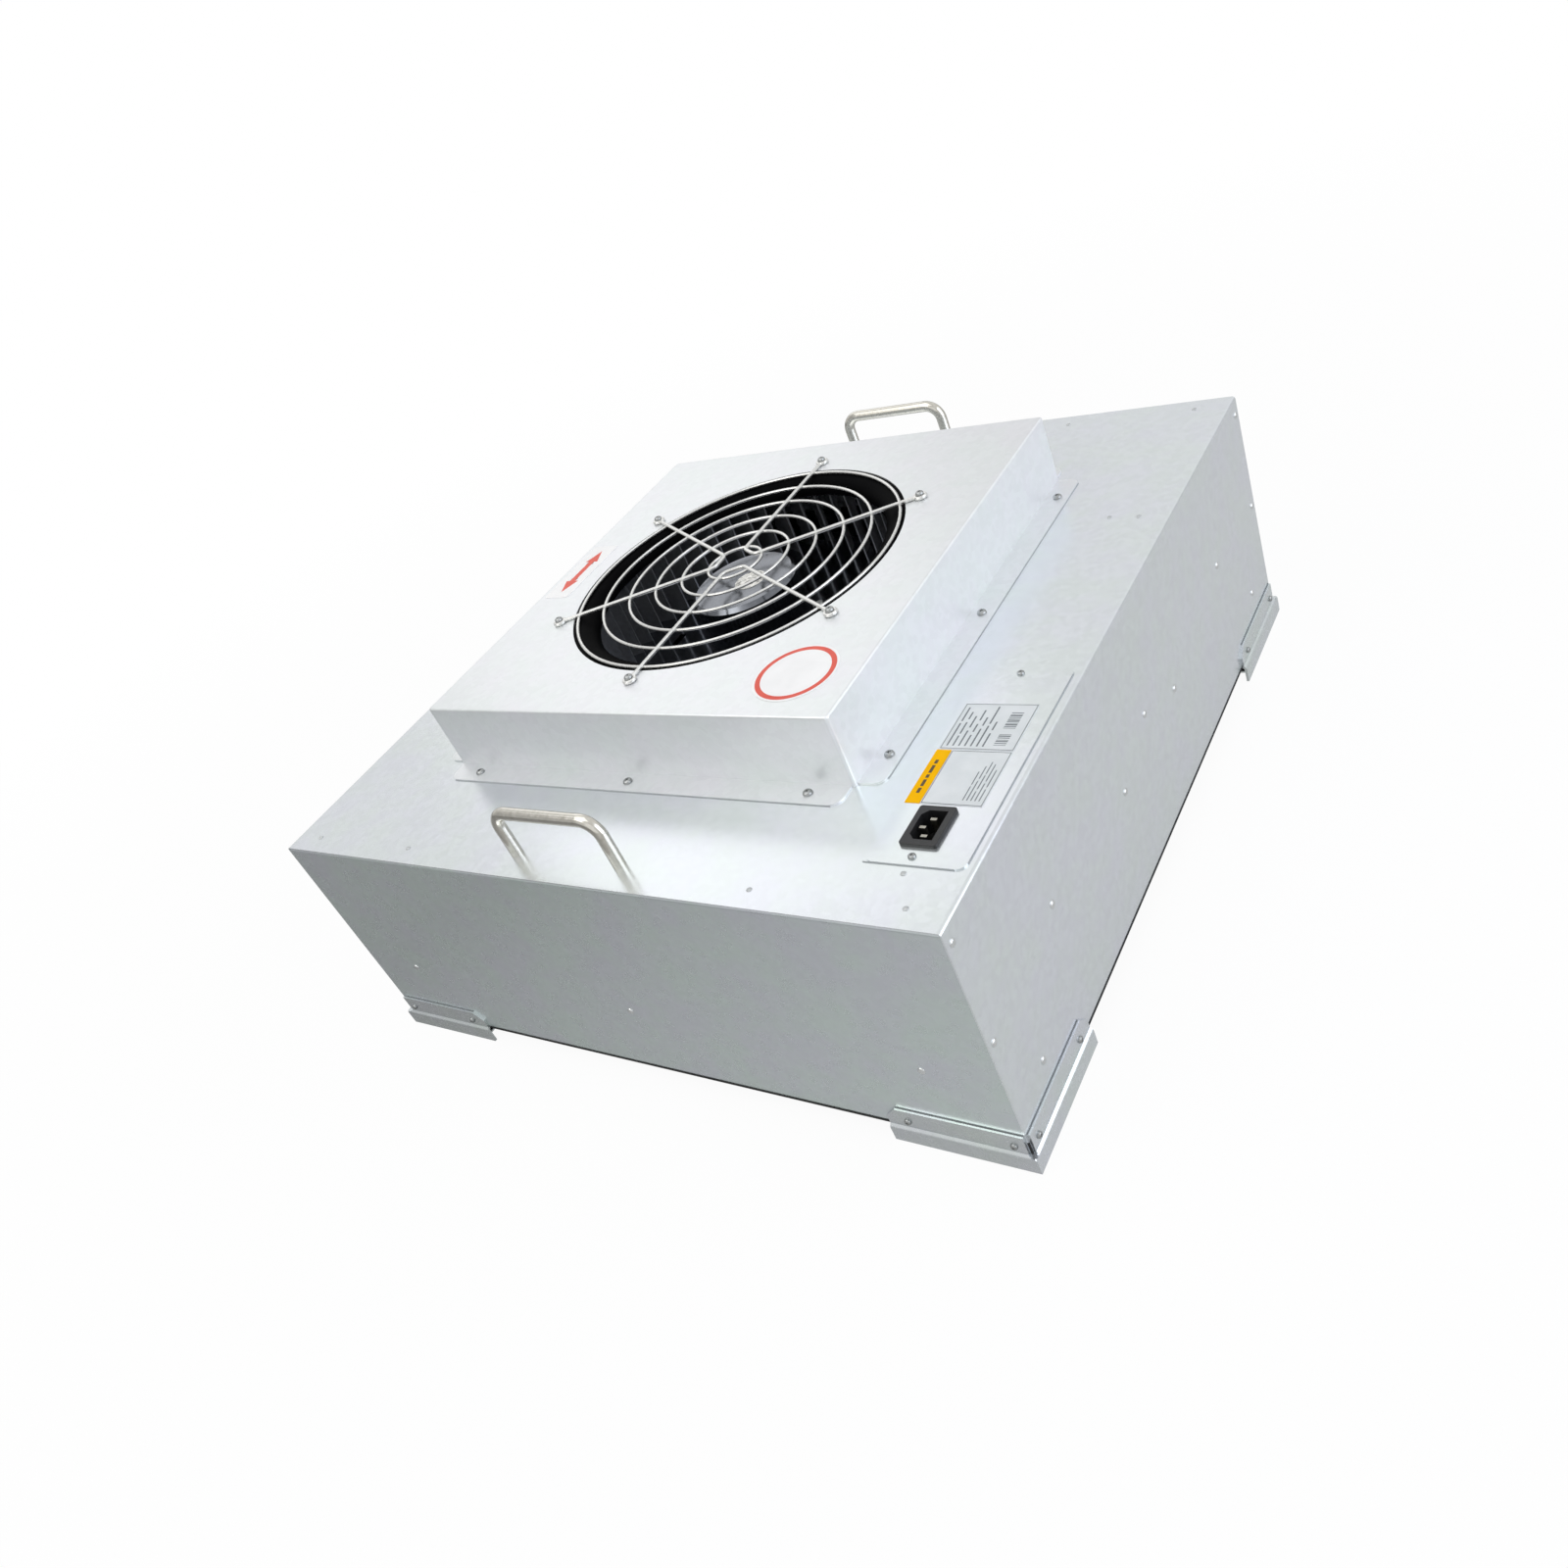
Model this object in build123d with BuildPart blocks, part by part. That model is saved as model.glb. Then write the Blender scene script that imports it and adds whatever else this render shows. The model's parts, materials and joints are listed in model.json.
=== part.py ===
from build123d import *

import os
from math import cos, radians, sin

# Fan filter unit: a folded steel case with a blower in its top half, a pleated filter in its
# bottom half and a square inlet collar with a wire guard on top. Millimetres, +Z up, the origin
# at the middle of the footprint on the surface that the corner brackets stand on.

os.makedirs("parts", exist_ok=True)

# ---------------------------------------------------------------- case
CASE_W = 575.0            # along X
CASE_D = 575.0            # along Y
CASE_H = 190.0
FOOT_DROP = 13.0          # the bracket skirts reach this far below the case
SHEET = 1.0               # case, panel and rail sheet
BEND_R = 1.6              # inside radius of the folds
FLANGE_TOP = 26.0         # front and back panels: return flange under the top sheet
FLANGE_SIDE = 14.0        # front and back panels: return flanges behind the side walls
RELIEF = 4.0              # gap between two return flanges at a corner
RIVET_HEAD_R = 3.2
RIVET_HEAD_H = 1.4
RIVET_TAPER = 45.0        # degrees, from the seat to the crown
EDGE_RIVETS = (27.5, 132.5)    # rows on the top sheet, in from the side walls
EDGE_RIVET_INSET = 14.5        # in from the front and back faces
BACK_RIVETS = ((45.0, 169.8), (22.7, 171.6))    # in from the right wall and the back face
FLANGE_RIVET_INSET = 6.5
FLANGE_RIVET_DROPS = (13.0, 94.0)

# ---------------------------------------------------------------- inlet collar and guard
COLLAR_SETBACK = 106.5    # collar wall, in from each face of the case
COLLAR_H = 54.0
COLLAR_SHEET = 1.2
COLLAR_FLANGE = 18.5      # foot flange, out from the collar wall
COLLAR_FLANGE_R = 9.0     # its rounded corners
COLLAR_SCREW_INSET = 30.0  # end screws of each side, in from the collar's corner
COLLAR_SCREW_OUT = 9.5    # screw line, out from the collar wall
OPENING_LEDGE = 11.0      # top sheet left inside the collar wall, round its opening
INLET_R = 134.0           # round hole in the collar top
GUARD_RINGS = 6
GUARD_EDGE_GAP = 4.0      # outer ring, in from the hole's edge
GUARD_WIRE = 3.0          # bent spokes and their eyes
GUARD_RING_WIRE = 2.4
GUARD_EYE_OUT = 12.0      # the eyes that hold the guard down, out from the hole's edge
GUARD_EYE_R = 3.8         # eye, to its wire's centre
GUARD_HOOK_R = 16.0       # how far in each bent spoke pair reaches
GUARD_HOOK_BEND = 6.4
GUARD_WELD = 1.3          # rings sunk into the spokes at each weld
GUARD_PAIRS = 3           # spoke pairs, each bent from one wire
GUARD_PAIR_ANGLE = 60.0   # degrees between the two spokes of a pair
GUARD_FIRST = 180.0       # direction that the first pair opens towards
GUARD_HEAD_R = 5.0

# ---------------------------------------------------------------- blower
IMPELLER_R = 146.0
IMPELLER_EYE_R = 120.0    # inner ends of the blades
IMPELLER_TOP = 44.0       # above the case top
IMPELLER_DROP = 17.0      # back plate's underside, below the case top
BACK_PLATE = 2.0
END_RING = 4.0            # height of the ring that joins the blade tops
END_RING_LAP = 8.0        # its inner edge, out from the blades' inner ends
BLADES = 48
BLADE_SHEET = 1.2
BLADE_SWEEP = 9.0         # degrees from the blade's inner to its outer end
BLADE_BOW = 4.0           # how far the blade's middle is bowed
PLATE_SLOTS = 6
PLATE_SLOT = (6.0, 15.0)  # radial width and length of the slots in the back plate
PLATE_SLOT_IN = 28.0      # their middle, in from the blades' inner ends
BELL_GAP = 2.5            # radial gap between the bell mouth's throat and the blades
BELL_SHEET = 1.0
BELL_FLANGE = 16.0
BELL_RIM = 2.0            # black flange that shows past the hole's edge
THROAT_H = 2.0            # straight part of the bell mouth's throat
CAN_R = 42.0              # outer rotor of the motor
CAN_WALL = 4.6
CAN_TOP = 38.0            # above the case top
CAN_END = 3.0
CAN_CHAMFER = 3.0
CAN_FLANGE_W = 14.0       # flange at the can's open end, out from its wall
CAN_FLANGE = 3.0
HUB_R = 10.0
HUB_GAP = 2.0             # hub's end, above the stator tube
AIR_GAP = 0.5
SHAFT_R = 4.0
SHAFT_END = 5.0           # below the bridge face
SHAFT_CHAMFER = 0.5
CLIP_GROOVE = 1.0
CLIP_GROOVE_DEPTH = 0.8
CLIP_RING_W = 2.5
RUNNING_FIT = 0.05        # radial
PRESS_GAP = 0.02          # radial, between pieces that are pressed together
BEARING_R = 11.0
BEARING_H = 7.0
BEARING_RACE = 2.0
BEARING_RECESS = 0.4
BEARING_LIP = 2.0         # stator tube's bore, in from the bearing's seat
STATOR_FLANGE_R = 45.0
STATOR_FLANGE = 5.0
STATOR_CHAMFER = 1.0
STATOR_TUBE_R = 14.0
STATOR_TUBE_TOP = 20.0    # above the case top
STACK_H = 24.0
STACK_DROP = 11.0         # stack's underside, below the case top
SLOTS = 12
SLOT_W = 7.0
SLOT_MOUTH = 2.0
CORE_WALL = 5.0           # stack between the tube and the slots
TOOTH_TIP = 3.0
WINDING_GAP = 0.3
WINDING_H = 9.0
IMPELLER_SCREWS = 6
IMPELLER_SCREW_OUT = 8.0  # out from the can's wall
STATOR_SCREW_INSET = 7.0  # in from the stator flange's edge

# ---------------------------------------------------------------- fan bridge and diffusers
BRIDGE_D = 140.0
BRIDGE_SHEET = 2.0
BRIDGE_DROP = 30.0        # drops are below the case top
BRIDGE_SEAT_DROP = 96.0
BRIDGE_TOP_HALF = 75.0
BRIDGE_FOOT_HALF = 135.0
BRIDGE_FLANGE = 20.0
BRIDGE_RIVET_INSET = 14.0
BRIDGE_RIVET_DROP = 11.0  # below the bridge's seat
BRIDGE_HOLE_GAP = 1.0     # hole under the lower bearing, round its edge
RAIL_DROP = 77.0
RAIL_H = 17.0
RAIL_LEDGE = 20.0
RAIL_INSET = 87.5         # rail ends, in from the front and back faces
RAIL_RIVET_INSET = 18.4   # end rivets, in from the rail's ends
DIFFUSER_GAP = 4.0        # between the bridge and each diffuser plate
DIFFUSER_SLOT = (46.0, 7.0)
DIFFUSER_SLOT_PITCH = (60.0, 18.0)
DIFFUSER_EDGE = 8.0       # least plate left round the slots
CAPACITOR_R = 15.0
CAPACITOR_L = 58.0
CAPACITOR_INSET = 81.5    # its axis, in from the left wall's inside
CAPACITOR_LIFT = 0.3
CAPACITOR_CHAMFER = 2.0
CLIP_W = 14.0
CLIP_EAR = 10.0

# ---------------------------------------------------------------- filter
FILTER_GAP = 2.5          # between the filter and the case's inside, all round
FILTER_H = 51.0
FILTER_WALL = 14.0
FRAME_SHEET = 1.5
GASKET_W = 12.0
GASKET_H = 5.0            # top seal, between the filter and the seat rails
BASE_GASKET_H = 3.0
PLEAT_PITCH = 6.0         # rounded so that whole pleats fill the frame
PLEAT_GAP = 0.5           # end pleats, from the frame's wall
PLEAT_SHEET = 0.9
MEDIA_INSET = 3.0         # pleats lie this far inside both faces of the frame
BEAD_PITCH = 45.0
BEAD_W = 2.0
BEAD_H = 0.8
BEAD_INSET = 7.0          # bead ends, in from the end pleats
SEAT_LEDGE = 25.0
SEAT_FLANGE_H = 15.0
SIDE_SEAT_FLANGE_H = 30.0
SEAT_RIVET_INSET = 54.5   # end rivets of the front and back rails, in from the side walls
SIDE_SEAT_RIVETS = (42.5, 9.0)    # in from the front and back faces, above the flange's edge
RAIL_CLEARANCE = 0.5

# ---------------------------------------------------------------- corner brackets
BRACKET_LEG = 97.5        # from the corner of the case
BRACKET_SHEET = 2.0
BRACKET_JOGGLE = 2.0      # the skirt stands this far out from the wall
BRACKET_RISE = 17.5       # upper flange, above the case's lower edge
BRACKET_CHAMFER = 8.0
BRACKET_LEDGE = 25.0
BRACKET_LEDGE_SHEET = 1.5
BRACKET_SLIT = 1.5
BRACKET_SCREWS = (9.5, 82.5)   # from the corner, along each leg
BRACKET_SCREW_DROP = 10.0      # below the flange's top edge

# ---------------------------------------------------------------- service panel and inlet
PANEL_W = 64.5
PANEL_L = 180.0
PANEL_RIGHT = 6.0         # in from the right wall
PANEL_FRONT = 45.5        # in from the front face
PANEL_R = 6.0
PANEL_SCREW_INSET = 6.3
PANEL_CUT_INSET = 14.0    # cut-out in the top sheet under the panel, in from its sides
PANEL_CUT_END = 18.0      # and in from its ends
PANEL_RIVET_OUT = 6.0     # rivet in front of the panel
POWER_RIGHT = 34.9        # power inlet's middle, in from the panel's right edge
POWER_FRONT = 29.8        # and back from its front edge
BEZEL = (24.3, 32.4, 2.6)
INLET_BODY = (19.8, 27.0, 17.0)
SOCKET = (16.0, 24.0, 15.5)
SOCKET_CHAMFER = 4.0
BEZEL_R = 2.0
BEZEL_EDGE_R = 0.6
PIN = (2.0, 4.0, 13.5)
PIN_PITCH = 14.0
EARTH_OFFSET = 4.0

# ---------------------------------------------------------------- handles
HANDLE_TUBE_R = 4.5
HANDLE_SPAN = 94.0        # between the legs' centres
HANDLE_H = 37.0           # to the grip's centre
HANDLE_BEND = 13.0
HANDLE_INSET = 22.0       # from the front or back face to the handle's centre

# ---------------------------------------------------------------- stickers
STICKER = 0.3
RING_STICKER_R = 29.5
RING_STICKER_INSET = (46.9, 44.0)        # centre, in from the collar's right and front walls
RING_MARK = (27.8, 24.2)                 # outer and inner radius
ARROW_STICKER = (26.0, 76.0)
ARROW_STICKER_INSET = 19.0               # centre, in from the collar's left wall
ARROW_STICKER_BACK = 2.0                 # centre, back from the inlet's middle
ARROW_STICKER_R = 3.0
ARROW_LENGTH = 46.0
ARROW_SHAFT = 3.6
ARROW_HEAD = (8.5, 13.0)
# Labels on the service panel: right and front insets of the near right corner, width, length.
RATING_LABEL = (10.0, 98.5, 49.5, 44.0)
FIELD_LABEL = (10.0, 49.5, 40.0, 48.0)
BAND_LABEL = (50.5, 49.5, 10.0, 48.0)
ROTOR_LABEL_R = 12.5
ROTOR_LABEL_X = 7.0

# ---------------------------------------------------------------- screws
M4_SHANK = 1.95
M4_HOLE = 2.1
M4_HEAD_R = 3.8
M4_HEAD_H = 2.4
SCREW_TAIL = 5.0
HEAD_ROUND = 0.9

# ---------------------------------------------------------------- levels worked out from the above
CASE_LOW = FOOT_DROP
CASE_TOP = CASE_LOW + CASE_H
COLLAR_TOP = CASE_TOP + COLLAR_H
HALF_W = CASE_W / 2
HALF_D = CASE_D / 2
INNER_W = HALF_W - SHEET
INNER_D = HALF_D - SHEET
COLLAR_X = HALF_W - COLLAR_SETBACK
COLLAR_Y = HALF_D - COLLAR_SETBACK
FILTER_X = INNER_W - FILTER_GAP
FILTER_Y = INNER_D - FILTER_GAP
FILTER_TOP = CASE_LOW + FILTER_H
SEAT_UNDER = FILTER_TOP + GASKET_H
GASKET_LOW = CASE_LOW - BASE_GASKET_H
BRIDGE_FACE = CASE_TOP - BRIDGE_DROP
BRIDGE_SEAT = CASE_TOP - BRIDGE_SEAT_DROP
RAIL_TOP = CASE_TOP - RAIL_DROP


def folded_section(points, bend_radius, thickness, side=Side.LEFT):
    """Section of a folded sheet: the bent line and its offset to one side."""
    with BuildSketch() as section:
        with BuildLine():
            FilletPolyline(*points, radius=bend_radius)
            offset(amount=thickness, side=side)
        make_face()
    return section.sketch


def pan_screw(head_radius, head_height, shank_radius, shank_length):
    """Pan-head screw, its seat at the origin and its shank along -Z."""
    with BuildPart() as screw:
        Cylinder(head_radius, head_height, align=(Align.CENTER, Align.CENTER, Align.MIN))
        chamfer(screw.edges().filter_by(GeomType.CIRCLE).sort_by(Axis.Z)[-1], HEAD_ROUND)
        Cylinder(shank_radius, shank_length, align=(Align.CENTER, Align.CENTER, Align.MAX))
    return screw.part


def rivet_head():
    """Low rivet head, its seat at the origin."""
    with BuildPart() as head:
        with BuildSketch():
            Circle(RIVET_HEAD_R)
        extrude(amount=RIVET_HEAD_H, taper=RIVET_TAPER)
    return head.part


M4_SCREW = pan_screw(M4_HEAD_R, M4_HEAD_H, M4_SHANK, SCREW_TAIL)
RIVET = rivet_head()

# ================================================================ case
guard_eye_line = INLET_R + GUARD_EYE_OUT
guard_eye_spots = [
    (guard_eye_line * cos(angle), guard_eye_line * sin(angle))
    for angle in [radians(GUARD_FIRST + (i + 0.5) * GUARD_PAIR_ANGLE) for i in range(2 * GUARD_PAIRS)]
]
collar_screw_spots = []
for row in (-1, 0, 1):
    for side in (-1, 1):
        along_x = row * (COLLAR_X - COLLAR_SCREW_INSET)
        along_y = row * (COLLAR_Y - COLLAR_SCREW_INSET)
        collar_screw_spots.append((along_x, side * (COLLAR_Y + COLLAR_SCREW_OUT)))
        collar_screw_spots.append((side * (COLLAR_X + COLLAR_SCREW_OUT), along_y))
panel_right = HALF_W - PANEL_RIGHT
panel_front = -HALF_D + PANEL_FRONT
panel_mid_x = panel_right - PANEL_W / 2
panel_mid_y = panel_front + PANEL_L / 2
power_x = panel_right - POWER_RIGHT
power_y = panel_front + POWER_FRONT
panel_screw_spots = [
    (power_x, panel_front + PANEL_SCREW_INSET),
    (power_x, panel_front + PANEL_L - PANEL_SCREW_INSET),
]
handle_line = HALF_D - HANDLE_INSET
handle_spots = [(x, y) for x in (-HANDLE_SPAN / 2, HANDLE_SPAN / 2) for y in (-handle_line, handle_line)]
bracket_screw_height = CASE_LOW + BRACKET_RISE - BRACKET_SCREW_DROP
front_bracket_spots = [
    (side * (HALF_W - inset), bracket_screw_height) for side in (-1, 1) for inset in BRACKET_SCREWS
]
side_bracket_spots = [
    (side * (HALF_D - inset), bracket_screw_height) for side in (-1, 1) for inset in BRACKET_SCREWS
]

# Top sheet and both side walls: one U-shaped sheet.
with BuildPart() as case_wrap:
    with BuildSketch(Plane.XZ):
        wall_line = [(-HALF_W, CASE_LOW), (-HALF_W, CASE_TOP), (HALF_W, CASE_TOP), (HALF_W, CASE_LOW)]
        add(folded_section(wall_line, BEND_R + SHEET, SHEET, Side.RIGHT))
    extrude(amount=HALF_D, both=True)
    with BuildSketch(Plane.XY.offset(CASE_TOP - SHEET)):
        Rectangle(2 * (COLLAR_X - OPENING_LEDGE), 2 * (COLLAR_Y - OPENING_LEDGE))
        with Locations((panel_mid_x, panel_mid_y)):
            Rectangle(PANEL_W - 2 * PANEL_CUT_INSET, PANEL_L - 2 * PANEL_CUT_END)
        with Locations((power_x, power_y)):
            Rectangle(BEZEL[0], BEZEL[1])
        with Locations(*collar_screw_spots, *panel_screw_spots, *handle_spots):
            Circle(M4_HOLE)
    extrude(amount=SHEET, mode=Mode.SUBTRACT)
    with BuildSketch(Plane.YZ):
        with Locations(*side_bracket_spots):
            Circle(M4_HOLE)
    extrude(amount=HALF_W, both=True, mode=Mode.SUBTRACT)
case_wrap.part.label = "case_wrap"
export_step(case_wrap.part, "parts/case_wrap.step")

# Front panel: folded in under the top sheet and behind both side walls.
with BuildPart() as front_panel:
    with BuildSketch(Plane.YZ):
        face_line = [
            (-HALF_D + FLANGE_TOP, CASE_TOP - SHEET),
            (-HALF_D, CASE_TOP - SHEET),
            (-HALF_D, CASE_LOW),
        ]
        add(folded_section(face_line, BEND_R + SHEET, SHEET))
    extrude(amount=INNER_W, both=True)
    with BuildSketch(Plane.XY.offset(CASE_LOW)):
        for side in (-1, 1):
            with Locations((side * (INNER_W - SHEET / 2), -HALF_D + FLANGE_SIDE / 2)):
                Rectangle(SHEET, FLANGE_SIDE)
    extrude(amount=CASE_H - SHEET - RELIEF)
    # The corners are trimmed to the inside of the wrap's two folds.
    with BuildSketch(Plane.XZ):
        with Locations((0, CASE_TOP - SHEET)):
            Rectangle(2 * INNER_W, CASE_H, align=(Align.CENTER, Align.MAX))
        fillet(vertices().group_by(Axis.Y)[-1], BEND_R)
    extrude(amount=HALF_D, mode=Mode.INTERSECT)
    with BuildSketch(Plane.XZ):
        with Locations(*front_bracket_spots):
            Circle(M4_HOLE)
    extrude(amount=HALF_D, mode=Mode.SUBTRACT)
    with BuildSketch(Plane.YZ):
        with Locations(*side_bracket_spots):
            Circle(M4_HOLE)
    extrude(amount=HALF_W, both=True, mode=Mode.SUBTRACT)
    with BuildSketch(Plane.XY.offset(CASE_TOP)):
        with Locations(*handle_spots):
            Circle(M4_HOLE)
    extrude(amount=-3 * SHEET, mode=Mode.SUBTRACT)
front_panel.part.label = "front_panel"
export_step(front_panel.part, "parts/front_panel.step")

with BuildPart() as back_panel:
    mirror(front_panel.part, about=Plane.XZ)
back_panel.part.label = "back_panel"
export_step(back_panel.part, "parts/back_panel.step")

# Rivets: the top sheet to the return flanges, the walls to the return flanges and the rails.
top_rivets = [
    (x * (HALF_W - inset), y * (HALF_D - EDGE_RIVET_INSET))
    for inset in EDGE_RIVETS
    for x in (-1, 1)
    for y in (-1, 1)
]
top_rivets += [(HALF_W - right, HALF_D - back) for right, back in BACK_RIVETS]
top_rivets += [(power_x, panel_front - PANEL_RIVET_OUT)]
rail_half = HALF_D - RAIL_INSET
side_seat_low = SEAT_UNDER + SHEET - SIDE_SEAT_FLANGE_H
# Each row is a height and how far from the middle its rivets lie.
side_rivet_rows = [(CASE_TOP - drop, (HALF_D - FLANGE_RIVET_INSET,)) for drop in FLANGE_RIVET_DROPS]
side_rivet_rows += [
    (RAIL_TOP - RAIL_H / 2, (0, rail_half - RAIL_RIVET_INSET)),
    (BRIDGE_SEAT - BRIDGE_RIVET_DROP, (BRIDGE_D / 2 - BRIDGE_RIVET_INSET,)),
    (side_seat_low + SIDE_SEAT_RIVETS[1], (HALF_D - SIDE_SEAT_RIVETS[0],)),
]
side_rivets = {(sign * y, z) for z, row in side_rivet_rows for y in row for sign in (-1, 1)}
seat_rivet_x = HALF_W - SEAT_RIVET_INSET

with BuildPart() as case_rivets:
    with Locations(*[(x, y, CASE_TOP) for x, y in top_rivets]):
        add(RIVET)
    for side in (-1, 1):
        for y, z in sorted(side_rivets):
            with Locations(Plane((side * HALF_W, y, z), z_dir=(side, 0, 0))):
                add(RIVET)
        for x in (-seat_rivet_x, 0, seat_rivet_x):
            with Locations(Plane((x, side * HALF_D, SEAT_UNDER + SEAT_FLANGE_H / 2), z_dir=(0, side, 0))):
                add(RIVET)
case_rivets.part.label = "case_rivets"
export_step(case_rivets.part, "parts/case_rivets.step")

# ================================================================ corner brackets
# Section of a leg on the wall x = HALF_W: a flange on the wall, a joggle and a skirt.
BRACKET_TOP = CASE_LOW + BRACKET_RISE
joggle_high = CASE_LOW + SHEET
joggle_low = joggle_high - BRACKET_JOGGLE
skirt_face = BRACKET_JOGGLE + BRACKET_SHEET
with BuildPart() as corner_bracket:
    # The first leg lies on the right wall, from the front corner backwards.
    with BuildSketch(Plane.XZ.offset(HALF_D + skirt_face)):
        line = [
            (HALF_W, BRACKET_TOP),
            (HALF_W, joggle_high),
            (HALF_W + BRACKET_JOGGLE, joggle_low),
            (HALF_W + BRACKET_JOGGLE, 0),
        ]
        add(folded_section(line, BRACKET_JOGGLE / 2, BRACKET_SHEET))
    extrude(amount=-(BRACKET_LEG + skirt_face))
    side_leg_end = corner_bracket.edges().filter_by(Axis.X).group_by(Axis.Z)[-1].sort_by(Axis.Y)[-1]
    chamfer(side_leg_end, BRACKET_CHAMFER)
    # The second leg is its mirror image about the corner's diagonal.
    diagonal = Plane((HALF_W, -HALF_D, 0), x_dir=(0, 0, 1), z_dir=(1, 1, 0))
    mirror(about=diagonal)
    # A slit parts the two upper flanges, down to the joggle.
    with BuildSketch(Plane.XY.offset(joggle_high)):
        with Locations((HALF_W - BRACKET_SLIT, -HALF_D + BRACKET_SLIT)):
            Rectangle(2 * skirt_face, 2 * skirt_face, align=(Align.MIN, Align.MAX))
    extrude(amount=BRACKET_RISE, mode=Mode.SUBTRACT)
    # Ledge welded inside the skirt, which carries the filter's corner.
    with BuildSketch(Plane.XY.offset(GASKET_LOW)):
        with Locations((HALF_W + BRACKET_JOGGLE, -HALF_D - BRACKET_JOGGLE)):
            Rectangle(
                BRACKET_LEG + BRACKET_JOGGLE,
                BRACKET_LEG + BRACKET_JOGGLE,
                align=(Align.MAX, Align.MIN),
            )
        with Locations((HALF_W - BRACKET_LEDGE, -HALF_D + BRACKET_LEDGE)):
            Rectangle(BRACKET_LEG, BRACKET_LEG, align=(Align.MAX, Align.MIN), mode=Mode.SUBTRACT)
    extrude(amount=-BRACKET_LEDGE_SHEET)
    with BuildSketch(Plane.YZ.offset(HALF_W)):
        with Locations(*[(-HALF_D + inset, bracket_screw_height) for inset in BRACKET_SCREWS]):
            Circle(M4_HOLE)
    extrude(amount=BRACKET_SHEET, mode=Mode.SUBTRACT)
    with BuildSketch(Plane.XZ.offset(HALF_D)):
        with Locations(*[(HALF_W - inset, bracket_screw_height) for inset in BRACKET_SCREWS]):
            Circle(M4_HOLE)
    extrude(amount=BRACKET_SHEET, mode=Mode.SUBTRACT)
BRACKET = corner_bracket.part

bracket_places = {
    "front_right": (),
    "front_left": (Plane.YZ,),
    "back_right": (Plane.XZ,),
    "back_left": (Plane.YZ, Plane.XZ),
}
for corner, mirrors in bracket_places.items():
    shape = BRACKET
    for about in mirrors:
        shape = shape.mirror(about)
    with BuildPart() as bracket:
        add(shape)
    bracket.part.label = f"bracket_{corner}"
    export_step(bracket.part, f"parts/bracket_{corner}.step")

BRACKET_SCREW = pan_screw(M4_HEAD_R, M4_HEAD_H, M4_SHANK, BRACKET_SHEET + 2 * SHEET)
with BuildPart() as bracket_screws:
    for side in (-1, 1):
        for y, z in side_bracket_spots:
            with Locations(Plane((side * (HALF_W + BRACKET_SHEET), y, z), z_dir=(side, 0, 0))):
                add(BRACKET_SCREW)
        for x, z in front_bracket_spots:
            with Locations(Plane((x, side * (HALF_D + BRACKET_SHEET), z), z_dir=(0, side, 0))):
                add(BRACKET_SCREW)
bracket_screws.part.label = "bracket_screws"
export_step(bracket_screws.part, "parts/bracket_screws.step")

# ================================================================ filter
# Seat rails: angles round the inside of the case that the filter seals against.
seat_rail_face = INNER_D
with BuildPart() as seat_rail_front:
    with BuildSketch(Plane.YZ):
        line = [
            (-seat_rail_face, SEAT_UNDER + SEAT_FLANGE_H),
            (-seat_rail_face, SEAT_UNDER),
            (-seat_rail_face + SEAT_LEDGE, SEAT_UNDER),
        ]
        add(folded_section(line, BEND_R, SHEET))
    extrude(amount=INNER_W - SHEET - RAIL_CLEARANCE, both=True)
seat_rail_front.part.label = "seat_rail_front"
export_step(seat_rail_front.part, "parts/seat_rail_front.step")

with BuildPart() as seat_rail_back:
    mirror(seat_rail_front.part, about=Plane.XZ)
seat_rail_back.part.label = "seat_rail_back"
export_step(seat_rail_back.part, "parts/seat_rail_back.step")

with BuildPart() as seat_rail_right:
    with BuildSketch(Plane.XZ):
        line = [
            (INNER_W, SEAT_UNDER + SHEET - SIDE_SEAT_FLANGE_H),
            (INNER_W, SEAT_UNDER + SHEET),
            (INNER_W - SEAT_LEDGE, SEAT_UNDER + SHEET),
        ]
        add(folded_section(line, BEND_R, SHEET))
    extrude(amount=seat_rail_face - SEAT_LEDGE - RAIL_CLEARANCE, both=True)
seat_rail_right.part.label = "seat_rail_right"
export_step(seat_rail_right.part, "parts/seat_rail_right.step")

with BuildPart() as seat_rail_left:
    mirror(seat_rail_right.part, about=Plane.YZ)
seat_rail_left.part.label = "seat_rail_left"
export_step(seat_rail_left.part, "parts/seat_rail_left.step")

with BuildPart() as filter_gasket:
    with BuildSketch(Plane.XY.offset(FILTER_TOP)):
        Rectangle(2 * FILTER_X, 2 * FILTER_Y)
        Rectangle(2 * (FILTER_X - GASKET_W), 2 * (FILTER_Y - GASKET_W), mode=Mode.SUBTRACT)
    extrude(amount=GASKET_H)
filter_gasket.part.label = "filter_gasket"
export_step(filter_gasket.part, "parts/filter_gasket.step")

# Filter frame: a U-section swept round the four sides, its two lips turned in over the pleats.
with BuildPart() as filter_frame:
    with BuildSketch(Plane.XY.offset(CASE_LOW)):
        Rectangle(2 * FILTER_X, 2 * FILTER_Y)
        Rectangle(2 * (FILTER_X - FILTER_WALL), 2 * (FILTER_Y - FILTER_WALL), mode=Mode.SUBTRACT)
    extrude(amount=FILTER_H)
    with BuildSketch(Plane.XY.offset(CASE_LOW + FRAME_SHEET)):
        Rectangle(2 * (FILTER_X - FRAME_SHEET), 2 * (FILTER_Y - FRAME_SHEET))
        Rectangle(2 * (FILTER_X - FILTER_WALL), 2 * (FILTER_Y - FILTER_WALL), mode=Mode.SUBTRACT)
    extrude(amount=FILTER_H - 2 * FRAME_SHEET, mode=Mode.SUBTRACT)
filter_frame.part.label = "filter_frame"
export_step(filter_frame.part, "parts/filter_frame.step")

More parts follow.
